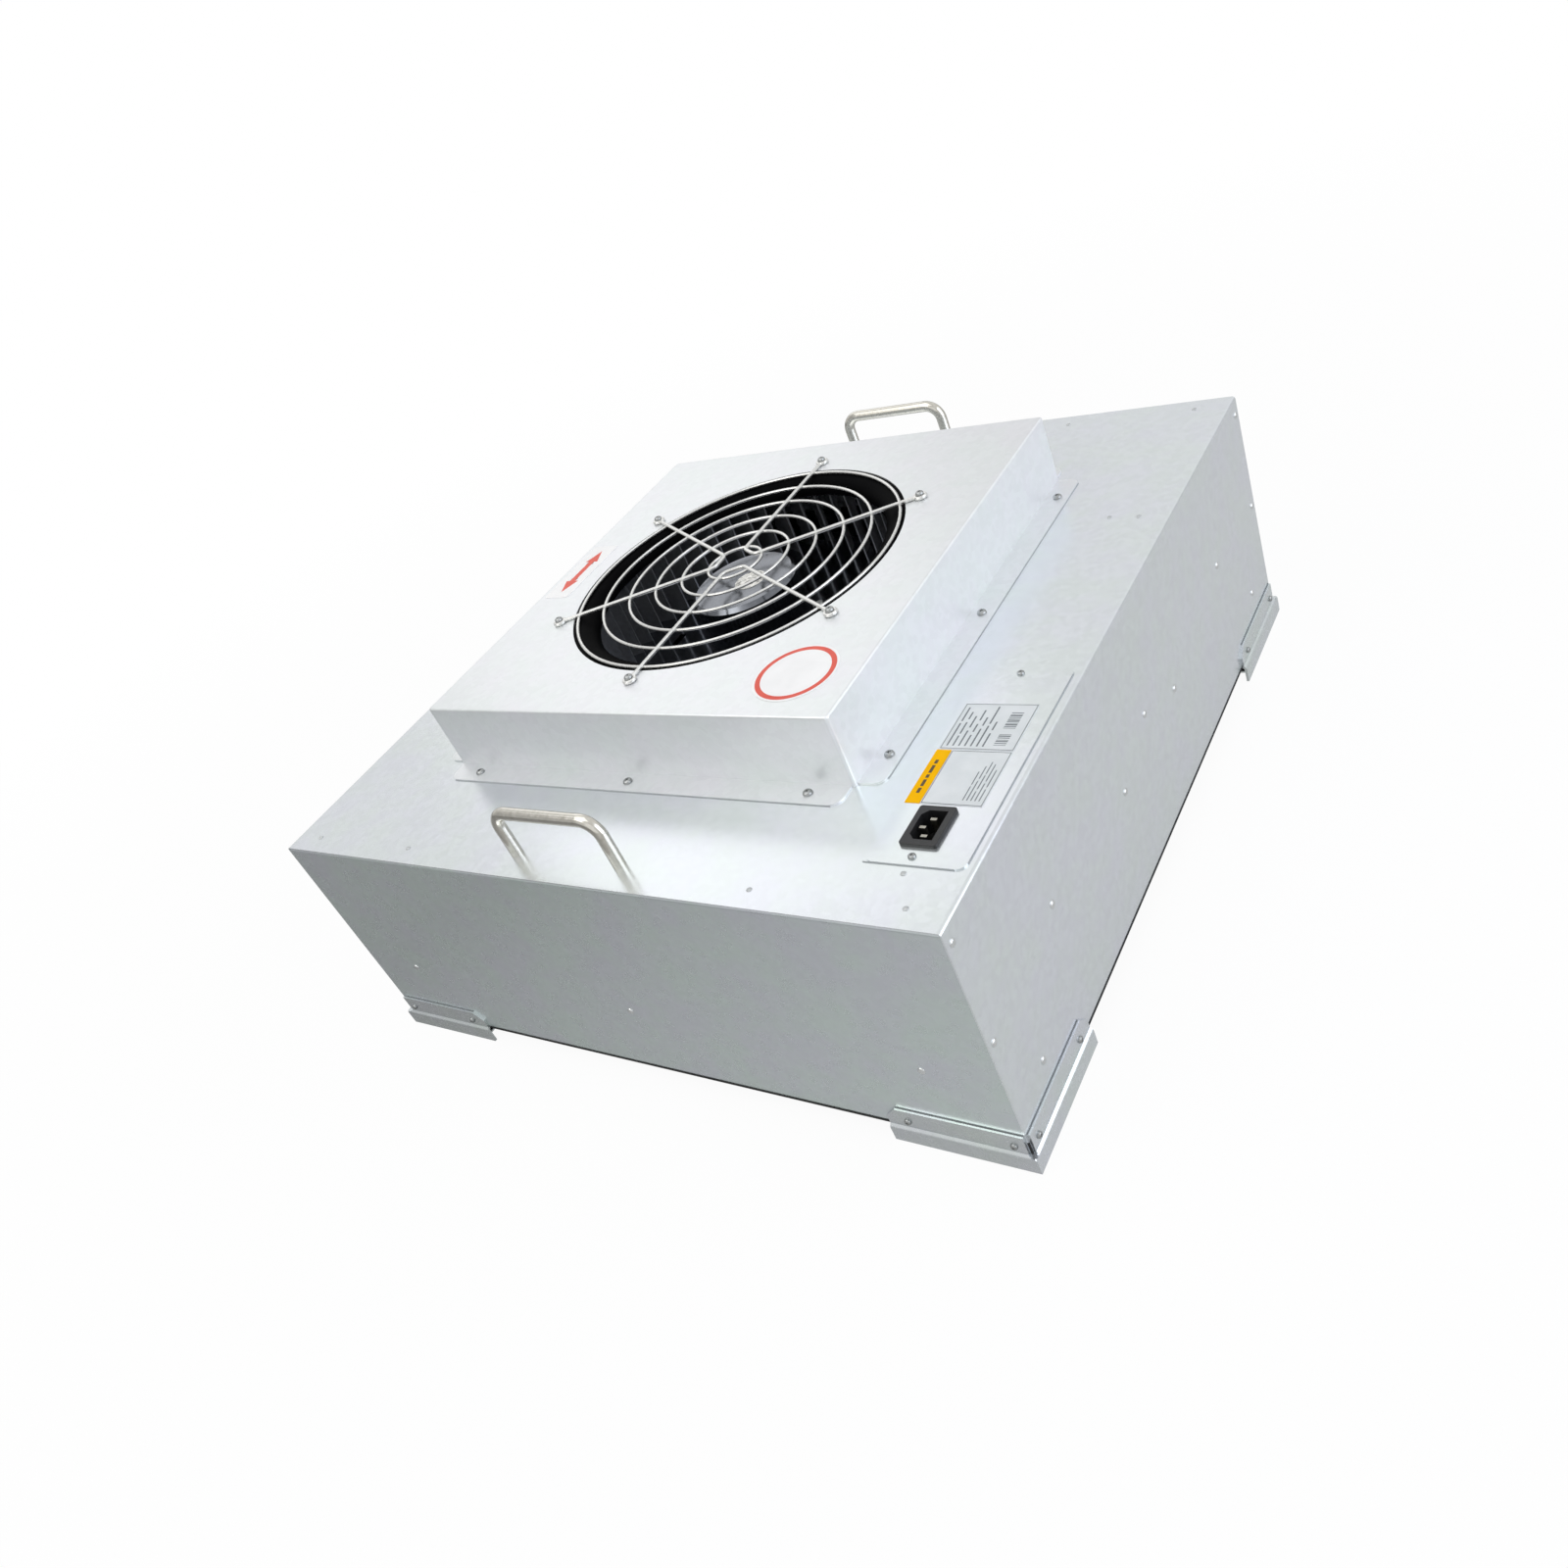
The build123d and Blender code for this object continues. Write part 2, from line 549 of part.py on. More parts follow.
# Pleated media: one zigzag sheet that fills the frame from wall to wall.
media_x = FILTER_X - FRAME_SHEET - PLEAT_GAP
media_y = FILTER_Y - FRAME_SHEET
media_low = CASE_LOW + MEDIA_INSET
media_high = FILTER_TOP - MEDIA_INSET
media_h = media_high - media_low
pleats = round(2 * media_x / PLEAT_PITCH)
pleat_pitch = 2 * media_x / pleats
# The pleats are steep, so the sheet's thickness shows as a much larger rise at each fold.
pleat_rise = 2 * PLEAT_SHEET * media_h / (pleat_pitch + 2 * PLEAT_SHEET)
with BuildPart() as filter_media:
    with BuildSketch(Plane.XZ):
        with BuildLine():
            under_line = []
            for fold in range(2 * pleats + 1):
                fold_x = (fold - pleats) * pleat_pitch / 2
                fold_z = media_high - pleat_rise if fold % 2 else media_low
                under_line.append((fold_x, fold_z))
            upper_line = [(x, z + pleat_rise) for x, z in reversed(under_line)]
            Polyline(*under_line, *upper_line, close=True)
        make_face()
    extrude(amount=media_y, both=True)
filter_media.part.label = "filter_media"
export_step(filter_media.part, "parts/filter_media.step")

# Beads that hold the pleats apart, on the lower fold tips.
beads = int(2 * (FILTER_Y - FILTER_WALL) / BEAD_PITCH)
with BuildPart() as filter_beads:
    with BuildSketch(Plane.XY.offset(media_low - BEAD_H)):
        with GridLocations(0, BEAD_PITCH, 1, beads):
            Rectangle(2 * (media_x - BEAD_INSET), BEAD_W)
    extrude(amount=BEAD_H)
filter_beads.part.label = "filter_beads"
export_step(filter_beads.part, "parts/filter_beads.step")

with BuildPart() as base_gasket:
    with BuildSketch(Plane.XY.offset(GASKET_LOW)):
        Rectangle(2 * INNER_W, 2 * INNER_D)
        Rectangle(2 * (INNER_W - GASKET_W), 2 * (INNER_D - GASKET_W), mode=Mode.SUBTRACT)
    extrude(amount=BASE_GASKET_H)
base_gasket.part.label = "base_gasket"
export_step(base_gasket.part, "parts/base_gasket.step")

# ================================================================ fan bridge and diffusers
motor_screw_offset = (STATOR_FLANGE_R - STATOR_SCREW_INSET) * sin(radians(45))
motor_screw_spots = [(x * motor_screw_offset, y * motor_screw_offset) for x in (-1, 1) for y in (-1, 1)]
with BuildPart() as fan_bridge:
    with BuildSketch(Plane.XZ):
        line = [
            (-INNER_W, BRIDGE_SEAT - BRIDGE_FLANGE),
            (-INNER_W, BRIDGE_SEAT),
            (-BRIDGE_FOOT_HALF, BRIDGE_SEAT),
            (-BRIDGE_TOP_HALF, BRIDGE_FACE),
            (BRIDGE_TOP_HALF, BRIDGE_FACE),
            (BRIDGE_FOOT_HALF, BRIDGE_SEAT),
            (INNER_W, BRIDGE_SEAT),
            (INNER_W, BRIDGE_SEAT - BRIDGE_FLANGE),
        ]
        add(folded_section(line, BEND_R + BRIDGE_SHEET, BRIDGE_SHEET, Side.RIGHT))
    extrude(amount=BRIDGE_D / 2, both=True)
    with BuildSketch(Plane.XY.offset(BRIDGE_FACE)):
        Circle(BEARING_R + BRIDGE_HOLE_GAP)
        with Locations(*motor_screw_spots):
            Circle(M4_HOLE)
    extrude(amount=-BRIDGE_SHEET, mode=Mode.SUBTRACT)
fan_bridge.part.label = "fan_bridge"
export_step(fan_bridge.part, "parts/fan_bridge.step")

with BuildPart() as side_rail_right:
    with BuildSketch(Plane.XZ):
        line = [
            (INNER_W, RAIL_TOP - RAIL_H),
            (INNER_W, RAIL_TOP),
            (INNER_W - RAIL_LEDGE, RAIL_TOP),
        ]
        add(folded_section(line, BEND_R, SHEET))
    extrude(amount=rail_half, both=True)
side_rail_right.part.label = "side_rail_right"
export_step(side_rail_right.part, "parts/side_rail_right.step")

with BuildPart() as side_rail_left:
    mirror(side_rail_right.part, about=Plane.YZ)
side_rail_left.part.label = "side_rail_left"
export_step(side_rail_left.part, "parts/side_rail_left.step")

# Slotted plates that spread the air over the filter, one each side of the bridge.
diffuser_near = BRIDGE_D / 2 + DIFFUSER_GAP
diffuser_size = (2 * (INNER_W - RAIL_CLEARANCE), rail_half - diffuser_near)
diffuser_slots = [
    int((size - 2 * DIFFUSER_EDGE - slot) / pitch) + 1
    for size, slot, pitch in zip(diffuser_size, DIFFUSER_SLOT, DIFFUSER_SLOT_PITCH)
]
with BuildPart() as diffuser_front:
    with BuildSketch(Plane.XY.offset(RAIL_TOP)):
        with Locations((0, -(diffuser_near + rail_half) / 2)):
            Rectangle(*diffuser_size)
            with GridLocations(*DIFFUSER_SLOT_PITCH, *diffuser_slots):
                Rectangle(*DIFFUSER_SLOT, mode=Mode.SUBTRACT)
    extrude(amount=SHEET)
diffuser_front.part.label = "diffuser_front"
export_step(diffuser_front.part, "parts/diffuser_front.step")

with BuildPart() as diffuser_back:
    mirror(diffuser_front.part, about=Plane.XZ)
diffuser_back.part.label = "diffuser_back"
export_step(diffuser_back.part, "parts/diffuser_back.step")

# ================================================================ motor, fixed half
tube_top = CASE_TOP + STATOR_TUBE_TOP
bearing_seat = BEARING_R + PRESS_GAP
upper_bearing_low = tube_top - BEARING_H
with BuildPart() as stator_base:
    Cylinder(STATOR_FLANGE_R, STATOR_FLANGE, align=(Align.CENTER, Align.CENTER, Align.MIN))
    chamfer(stator_base.edges().filter_by(GeomType.CIRCLE).sort_by(Axis.Z)[-1], STATOR_CHAMFER)
    Cylinder(STATOR_TUBE_R, tube_top - BRIDGE_FACE, align=(Align.CENTER, Align.CENTER, Align.MIN))
    Cylinder(BEARING_R - BEARING_LIP, 2 * CASE_H, mode=Mode.SUBTRACT)
    Cylinder(bearing_seat, BEARING_H, align=(Align.CENTER, Align.CENTER, Align.MIN), mode=Mode.SUBTRACT)
    with Locations((0, 0, upper_bearing_low - BRIDGE_FACE)):
        Cylinder(bearing_seat, BEARING_H, align=(Align.CENTER, Align.CENTER, Align.MIN), mode=Mode.SUBTRACT)
    with Locations(*motor_screw_spots):
        Cylinder(M4_HOLE, 2 * (STATOR_FLANGE - STATOR_CHAMFER), mode=Mode.SUBTRACT)
stator_base.part.position = (0, 0, BRIDGE_FACE)
stator_base.part.label = "stator_base"
export_step(stator_base.part, "parts/stator_base.step")

STATOR_SCREW = pan_screw(
    M4_HEAD_R, M4_HEAD_H, M4_SHANK, BRIDGE_SHEET + STATOR_FLANGE - 2 * STATOR_CHAMFER
)
with BuildPart() as stator_screws:
    for x, y in motor_screw_spots:
        with Locations(Plane((x, y, BRIDGE_FACE - BRIDGE_SHEET), z_dir=(0, 0, -1))):
            add(STATOR_SCREW)
stator_screws.part.label = "stator_screws"
export_step(stator_screws.part, "parts/stator_screws.step")


def ball_bearing():
    """Shielded ball bearing as one ring with its shield recesses, its lower face at the origin."""
    bore = SHAFT_R + RUNNING_FIT
    with BuildPart() as bearing:
        with BuildSketch(Plane.XZ):
            with Locations((bore, 0)):
                Rectangle(BEARING_R - bore, BEARING_H, align=(Align.MIN, Align.MIN))
            for recess_low in (0, BEARING_H - BEARING_RECESS):
                with Locations((bore + BEARING_RACE, recess_low)):
                    Rectangle(
                        BEARING_R - bore - 2 * BEARING_RACE,
                        BEARING_RECESS,
                        align=(Align.MIN, Align.MIN),
                        mode=Mode.SUBTRACT,
                    )
        revolve(axis=Axis.Z)
    return bearing.part


for name, level in (("bearing_lower", BRIDGE_FACE), ("bearing_upper", upper_bearing_low)):
    with BuildPart() as bearing:
        with Locations((0, 0, level)):
            add(ball_bearing())
    bearing.part.label = name
    export_step(bearing.part, f"parts/{name}.step")

stack_low = CASE_TOP - STACK_DROP
stack_r = CAN_R - CAN_WALL - AIR_GAP
slot_in = STATOR_TUBE_R + CORE_WALL
slot_out = stack_r - TOOTH_TIP


def slot_pattern(shrink):
    """Winding slots of the stator stack, each narrowed by shrink all round."""
    with BuildSketch() as slots:
        with PolarLocations((slot_in + slot_out) / 2, SLOTS):
            Rectangle(slot_out - slot_in - 2 * shrink, SLOT_W - 2 * shrink)
    return slots.sketch


with BuildPart() as stator_core:
    with BuildSketch(Plane.XY.offset(stack_low)):
        Circle(stack_r)
        Circle(STATOR_TUBE_R + PRESS_GAP, mode=Mode.SUBTRACT)
        add(slot_pattern(0), mode=Mode.SUBTRACT)
        with PolarLocations((slot_out + stack_r) / 2, SLOTS):
            Rectangle(2 * (stack_r - slot_out), SLOT_MOUTH, mode=Mode.SUBTRACT)
    extrude(amount=STACK_H)
stator_core.part.label = "stator_core"
export_step(stator_core.part, "parts/stator_core.step")

with BuildPart() as stator_windings:
    with BuildSketch(Plane.XY.offset(stack_low - WINDING_GAP)):
        add(slot_pattern(WINDING_GAP))
    extrude(amount=STACK_H + 2 * WINDING_GAP)
    winding_in = slot_in - WINDING_GAP
    for level, direction in ((stack_low - WINDING_GAP, -1), (stack_low + STACK_H + WINDING_GAP, 1)):
        with BuildSketch(Plane.XY.offset(level)):
            Circle(slot_out - WINDING_GAP)
            Circle(winding_in, mode=Mode.SUBTRACT)
        extrude(amount=direction * WINDING_H)
stator_windings.part.label = "stator_windings"
export_step(stator_windings.part, "parts/stator_windings.step")

# Run capacitor on the low part of the bridge, under a saddle clip.
capacitor_x = -INNER_W + CAPACITOR_INSET
capacitor_z = BRIDGE_SEAT + CAPACITOR_R + CAPACITOR_LIFT
with BuildPart() as run_capacitor:
    with BuildSketch(Plane.XZ):
        with Locations((capacitor_x, capacitor_z)):
            Circle(CAPACITOR_R)
    extrude(amount=CAPACITOR_L / 2, both=True)
    chamfer(run_capacitor.edges().filter_by(GeomType.CIRCLE), CAPACITOR_CHAMFER)
run_capacitor.part.label = "run_capacitor"
export_step(run_capacitor.part, "parts/run_capacitor.step")

with BuildPart() as capacitor_clip:
    with BuildSketch(Plane.XZ):
        with Locations((capacitor_x, capacitor_z)):
            strap_r = CAPACITOR_R + CAPACITOR_LIFT
            Circle(strap_r + SHEET)
            with Locations((0, -CAPACITOR_R)):
                Rectangle(2 * (strap_r + SHEET), 2 * CAPACITOR_R, mode=Mode.SUBTRACT)
            with Locations((0, -strap_r)):
                Rectangle(2 * (strap_r + SHEET), strap_r, align=(Align.CENTER, Align.MIN))
                Rectangle(2 * (strap_r + SHEET + CLIP_EAR), SHEET, align=(Align.CENTER, Align.MIN))
                Rectangle(2 * strap_r, strap_r, align=(Align.CENTER, Align.MIN), mode=Mode.SUBTRACT)
            Circle(strap_r, mode=Mode.SUBTRACT)
    extrude(amount=CLIP_W / 2, both=True)
capacitor_clip.part.label = "capacitor_clip"
export_step(capacitor_clip.part, "parts/capacitor_clip.step")

# ================================================================ rotor
can_top = CASE_TOP + CAN_TOP
impeller_low = CASE_TOP - IMPELLER_DROP
impeller_top = CASE_TOP + IMPELLER_TOP
hub_low = tube_top + HUB_GAP
impeller_screw_line = CAN_R + IMPELLER_SCREW_OUT
with BuildPart() as rotor_can:
    with BuildSketch(Plane.XZ):
        with BuildLine():
            Polyline(
                (SHAFT_R + PRESS_GAP, can_top),
                (CAN_R, can_top),
                (CAN_R, impeller_low),
                (CAN_R + CAN_FLANGE_W, impeller_low),
                (CAN_R + CAN_FLANGE_W, impeller_low - CAN_FLANGE),
                (CAN_R - CAN_WALL, impeller_low - CAN_FLANGE),
                (CAN_R - CAN_WALL, can_top - CAN_END),
                (HUB_R, can_top - CAN_END),
                (HUB_R, hub_low),
                (SHAFT_R + PRESS_GAP, hub_low),
                close=True,
            )
        make_face()
    revolve(axis=Axis.Z)
    top_edges = rotor_can.edges().filter_by(GeomType.CIRCLE).group_by(Axis.Z)[-1]
    chamfer(top_edges.sort_by(SortBy.RADIUS)[-1], CAN_CHAMFER)
    with PolarLocations(impeller_screw_line, IMPELLER_SCREWS):
        with Locations((0, 0, impeller_low)):
            Hole(M4_HOLE, 2 * CAN_FLANGE)
rotor_can.part.label = "rotor_can"
export_step(rotor_can.part, "parts/rotor_can.step")

shaft_low = BRIDGE_FACE - SHAFT_END
with BuildPart() as motor_shaft:
    with Locations((0, 0, shaft_low)):
        Cylinder(SHAFT_R, can_top - shaft_low, align=(Align.CENTER, Align.CENTER, Align.MIN))
    chamfer(motor_shaft.edges().filter_by(GeomType.CIRCLE), SHAFT_CHAMFER)
    with BuildSketch(Plane.XY.offset(BRIDGE_FACE - CLIP_GROOVE - RUNNING_FIT)):
        Circle(SHAFT_R)
        Circle(SHAFT_R - CLIP_GROOVE_DEPTH, mode=Mode.SUBTRACT)
    extrude(amount=-CLIP_GROOVE, mode=Mode.SUBTRACT)
motor_shaft.part.label = "motor_shaft"
export_step(motor_shaft.part, "parts/motor_shaft.step")

with BuildPart() as shaft_clip:
    with BuildSketch(Plane.XY.offset(BRIDGE_FACE - CLIP_GROOVE - 2 * RUNNING_FIT)):
        Circle(SHAFT_R + CLIP_RING_W)
        Circle(SHAFT_R - CLIP_GROOVE_DEPTH + PRESS_GAP, mode=Mode.SUBTRACT)
        with Locations((SHAFT_R, 0)):
            Rectangle(2 * SHAFT_R, SHAFT_R, mode=Mode.SUBTRACT)
    extrude(amount=-(CLIP_GROOVE - 2 * RUNNING_FIT))
shaft_clip.part.label = "shaft_clip"
export_step(shaft_clip.part, "parts/shaft_clip.step")

# Impeller: a back plate, a drum of forward-curved blades and an end ring.
plate_top = impeller_low + BACK_PLATE
ring_low = impeller_top - END_RING
plate_slot_line = IMPELLER_EYE_R - PLATE_SLOT_IN


def blade_section():
    """Section of one blade: a bowed sheet from the eye to the rim."""
    inner = Vector(IMPELLER_EYE_R, 0)
    rim = IMPELLER_R - BLADE_SHEET
    sweep = radians(BLADE_SWEEP)
    outer = Vector(rim * cos(sweep), rim * sin(sweep))
    chord = outer - inner
    bow = Vector(chord.Y, -chord.X).normalized() * BLADE_BOW
    with BuildSketch() as blade:
        with BuildLine():
            ThreePointArc(inner, inner + chord / 2 + bow, outer)
            offset(amount=BLADE_SHEET, side=Side.LEFT)
        make_face()
    return blade.sketch


with BuildPart() as impeller_plate:
    with BuildSketch(Plane.XY.offset(impeller_low)):
        Circle(IMPELLER_R)
        Circle(CAN_R + PRESS_GAP, mode=Mode.SUBTRACT)
        with PolarLocations(plate_slot_line, PLATE_SLOTS):
            Rectangle(*PLATE_SLOT, mode=Mode.SUBTRACT)
        with PolarLocations(impeller_screw_line, IMPELLER_SCREWS):
            Circle(M4_HOLE, mode=Mode.SUBTRACT)
    extrude(amount=BACK_PLATE)
impeller_plate.part.label = "impeller_plate"
export_step(impeller_plate.part, "parts/impeller_plate.step")

with BuildPart() as impeller_blades:
    with BuildSketch(Plane.XY.offset(plate_top)):
        with PolarLocations(0, BLADES):
            add(blade_section())
    extrude(amount=ring_low - plate_top)
impeller_blades.part.label = "impeller_blades"
export_step(impeller_blades.part, "parts/impeller_blades.step")

with BuildPart() as impeller_ring:
    with BuildSketch(Plane.XY.offset(ring_low)):
        Circle(IMPELLER_R)
        Circle(IMPELLER_EYE_R + END_RING_LAP, mode=Mode.SUBTRACT)
    extrude(amount=END_RING)
impeller_ring.part.label = "impeller_ring"
export_step(impeller_ring.part, "parts/impeller_ring.step")

IMPELLER_SCREW = pan_screw(M4_HEAD_R, M4_HEAD_H, M4_SHANK, BACK_PLATE + CAN_FLANGE)
with BuildPart() as impeller_screws:
    with Locations((0, 0, plate_top)):
        with PolarLocations(impeller_screw_line, IMPELLER_SCREWS):
            add(IMPELLER_SCREW)
impeller_screws.part.label = "impeller_screws"
export_step(impeller_screws.part, "parts/impeller_screws.step")

with BuildPart() as rotor_label:
    with Locations((ROTOR_LABEL_X, 0, can_top)):
        Cylinder(ROTOR_LABEL_R, STICKER, align=(Align.CENTER, Align.CENTER, Align.MIN))
rotor_label.part.label = "rotor_label"
export_step(rotor_label.part, "parts/rotor_label.step")

# ================================================================ inlet collar
collar_sides = [
    (COLLAR_X, 2 * COLLAR_Y, 0),
    (COLLAR_Y, 2 * COLLAR_X, 90),
    (COLLAR_X, 2 * COLLAR_Y, 180),
    (COLLAR_Y, 2 * COLLAR_X, 270),
]
with BuildPart() as inlet_collar:
    with BuildSketch(Plane.XY.offset(CASE_TOP)):
        RectangleRounded(2 * COLLAR_X, 2 * COLLAR_Y, BEND_R + COLLAR_SHEET)
    extrude(amount=COLLAR_H)
    fillet(inlet_collar.edges().group_by(Axis.Z)[-1], BEND_R)
    offset(amount=-COLLAR_SHEET, openings=inlet_collar.faces().sort_by(Axis.Z)[0])
    # A foot flange is folded out along each side, with a gap at the corners.
    for wall, length, direction in collar_sides:
        with BuildSketch(Plane.XY.offset(CASE_TOP)):
            with PolarLocations(0, 1, start_angle=direction):
                with Locations((wall - COLLAR_SHEET, 0)):
                    Rectangle(
                        COLLAR_FLANGE + COLLAR_SHEET,
                        length - 2 * BEND_R - 2 * COLLAR_SHEET,
                        align=(Align.MIN, Align.CENTER),
                    )
            outer_corners = vertices().sort_by(lambda v: v.X**2 + v.Y**2)[-2:]
            fillet(outer_corners, COLLAR_FLANGE_R)
        extrude(amount=COLLAR_SHEET)
    with BuildSketch(Plane.XY.offset(CASE_TOP)):
        with Locations(*collar_screw_spots):
            Circle(M4_HOLE)
    extrude(amount=COLLAR_SHEET, mode=Mode.SUBTRACT)
    with BuildSketch(Plane.XY.offset(COLLAR_TOP)):
        Circle(INLET_R)
        with Locations(*guard_eye_spots):
            Circle(M4_HOLE)
    extrude(amount=-COLLAR_SHEET, mode=Mode.SUBTRACT)
inlet_collar.part.label = "inlet_collar"
export_step(inlet_collar.part, "parts/inlet_collar.step")

with BuildPart() as collar_screws:
    with Locations(*[(x, y, CASE_TOP + COLLAR_SHEET) for x, y in collar_screw_spots]):
        add(M4_SCREW)
collar_screws.part.label = "collar_screws"
export_step(collar_screws.part, "parts/collar_screws.step")

# Bell mouth: a flange under the collar's top and a quarter-ellipse down to the throat.
bell_high = COLLAR_TOP - COLLAR_SHEET
throat = IMPELLER_EYE_R - BELL_GAP
bell_low = impeller_top - BELL_GAP
rim_r = INLET_R - BELL_RIM
throat_high = bell_low + THROAT_H
with BuildPart() as inlet_ring:
    with BuildSketch(Plane.XZ):
        with BuildLine():
            bell_x = rim_r - throat + BELL_SHEET
            bell_z = bell_high - throat_high
            centre = (rim_r, throat_high)
            Line((rim_r + BELL_FLANGE, bell_high), (rim_r, bell_high))
            EllipticalCenterArc(centre, bell_x, bell_z, start_angle=90, arc_size=90)
            Polyline(
                (throat - BELL_SHEET, throat_high),
                (throat - BELL_SHEET, bell_low),
                (throat, bell_low),
                (throat, throat_high),
            )
            EllipticalCenterArc(
                centre, bell_x - BELL_SHEET, bell_z - BELL_SHEET, start_angle=90, arc_size=90
            )
            Polyline(
                (rim_r, bell_high - BELL_SHEET),
                (rim_r + BELL_FLANGE, bell_high - BELL_SHEET),
                (rim_r + BELL_FLANGE, bell_high),
            )
        make_face()
    revolve(axis=Axis.Z)
    with Locations(*[(x, y, bell_high) for x, y in guard_eye_spots]):
        Hole(M4_HOLE, 2 * BELL_SHEET)
inlet_ring.part.label = "inlet_ring"
export_step(inlet_ring.part, "parts/inlet_ring.step")

# Finger guard: three bent spoke pairs with screwed eyes, and six rings welded under them.
wire_r = GUARD_WIRE / 2
ring_wire_r = GUARD_RING_WIRE / 2
spoke_level = COLLAR_TOP + wire_r
ring_level = spoke_level - wire_r - ring_wire_r + GUARD_WELD


def polar(radius, degrees, level):
    """Point at a radius and a direction from the axis."""
    return (radius * cos(radians(degrees)), radius * sin(radians(degrees)), level)


def wire_ring(radius, wire):
    """Ring of round wire about the Z axis, from the wire's radius."""
    with BuildPart() as ring:
        Torus(radius, wire)
    return ring.part


with BuildPart() as finger_guard:
    for pair in range(GUARD_PAIRS):
        middle = GUARD_FIRST + pair * 2 * GUARD_PAIR_ANGLE
        first, second = middle - GUARD_PAIR_ANGLE / 2, middle + GUARD_PAIR_ANGLE / 2
        spoke_end = guard_eye_line - GUARD_EYE_R
        with BuildLine():
            spoke_path = FilletPolyline(
                polar(spoke_end, first, spoke_level),
                polar(GUARD_HOOK_R, first, spoke_level),
                polar(GUARD_HOOK_R, second, spoke_level),
                polar(spoke_end, second, spoke_level),
                radius=GUARD_HOOK_BEND,
            )
        with BuildSketch(Plane(spoke_path @ 0, z_dir=spoke_path % 0)):
            Circle(wire_r)
        sweep(path=spoke_path)
    with Locations(*[(x, y, spoke_level) for x, y in guard_eye_spots]):
        add(wire_ring(GUARD_EYE_R, wire_r))
    for ring in range(GUARD_RINGS):
        with Locations((0, 0, ring_level)):
            add(wire_ring((INLET_R - GUARD_EDGE_GAP) * (ring + 1) / GUARD_RINGS, ring_wire_r))
finger_guard.part.label = "finger_guard"
export_step(finger_guard.part, "parts/finger_guard.step")

guard_seat = COLLAR_TOP + GUARD_WIRE
GUARD_SCREW = pan_screw(GUARD_HEAD_R, M4_HEAD_H, M4_SHANK, GUARD_WIRE + SCREW_TAIL)
with BuildPart() as guard_screws:
    with Locations(*[(x, y, guard_seat) for x, y in guard_eye_spots]):
        add(GUARD_SCREW)
guard_screws.part.label = "guard_screws"
export_step(guard_screws.part, "parts/guard_screws.step")

# ================================================================ service panel and power inlet
panel_top = CASE_TOP + SHEET
with BuildPart() as service_panel:
    with BuildSketch(Plane.XY.offset(CASE_TOP)):
        with Locations((panel_mid_x, panel_mid_y)):
            RectangleRounded(PANEL_W, PANEL_L, PANEL_R)
        with Locations((power_x, power_y)):
            Rectangle(INLET_BODY[0], INLET_BODY[1], mode=Mode.SUBTRACT)
        with Locations(*panel_screw_spots):
            Circle(M4_HOLE, mode=Mode.SUBTRACT)
    extrude(amount=SHEET)
service_panel.part.label = "service_panel"
export_step(service_panel.part, "parts/service_panel.step")

with BuildPart() as panel_screws:
    with Locations(*[(x, y, panel_top) for x, y in panel_screw_spots]):
        add(M4_SCREW)
panel_screws.part.label = "panel_screws"
export_step(panel_screws.part, "parts/panel_screws.step")

# Power inlet: a bezel on the panel, a body through it and a socket with two cut corners.
bezel_top = panel_top + BEZEL[2]
socket_floor = bezel_top - SOCKET[2]
with BuildPart() as power_inlet:
    with BuildSketch(Plane.XY.offset(panel_top)):
        with Locations((power_x, power_y)):
            RectangleRounded(BEZEL[0], BEZEL[1], BEZEL_R)
    extrude(amount=BEZEL[2])
    fillet(power_inlet.edges().group_by(Axis.Z)[-1], BEZEL_EDGE_R)
    with BuildSketch(Plane.XY.offset(panel_top)):
        with Locations((power_x, power_y)):
            Rectangle(INLET_BODY[0], INLET_BODY[1])
    extrude(amount=-INLET_BODY[2])
    with BuildSketch(Plane.XY.offset(bezel_top)):
        with Locations((power_x, power_y)):
            Rectangle(SOCKET[0], SOCKET[1])
        chamfer(vertices().group_by(Axis.X)[0], SOCKET_CHAMFER)
    extrude(amount=-SOCKET[2], mode=Mode.SUBTRACT)
power_inlet.part.label = "power_inlet"
export_step(power_inlet.part, "parts/power_inlet.step")

with BuildPart() as inlet_pins:
    with BuildSketch(Plane.XY.offset(socket_floor)):
        with Locations((power_x, power_y)):
            with GridLocations(0, PIN_PITCH, 1, 2):
                Rectangle(PIN[1], PIN[0])
            with Locations((-EARTH_OFFSET, 0)):
                Rectangle(PIN[1], PIN[0])
    extrude(amount=PIN[2])
inlet_pins.part.label = "inlet_pins"
export_step(inlet_pins.part, "parts/inlet_pins.step")

# ================================================================ handles
for name, side in (("handle_front", -1), ("handle_back", 1)):
    with BuildPart() as handle:
        with BuildLine():
            half_span = HANDLE_SPAN / 2
            grip_path = FilletPolyline(
                (-half_span, side * handle_line, CASE_TOP),
                (-half_span, side * handle_line, CASE_TOP + HANDLE_H),
                (half_span, side * handle_line, CASE_TOP + HANDLE_H),
                (half_span, side * handle_line, CASE_TOP),
                radius=HANDLE_BEND,
            )
        with BuildSketch(Plane(grip_path @ 0, z_dir=grip_path % 0)):
            Circle(HANDLE_TUBE_R)
        sweep(path=grip_path)
        for x in (-half_span, half_span):
            with Locations((x, side * handle_line, CASE_TOP)):
                Hole(M4_SHANK + PRESS_GAP, 2 * SCREW_TAIL)
    handle.part.label = name
    export_step(handle.part, f"parts/{name}.step")

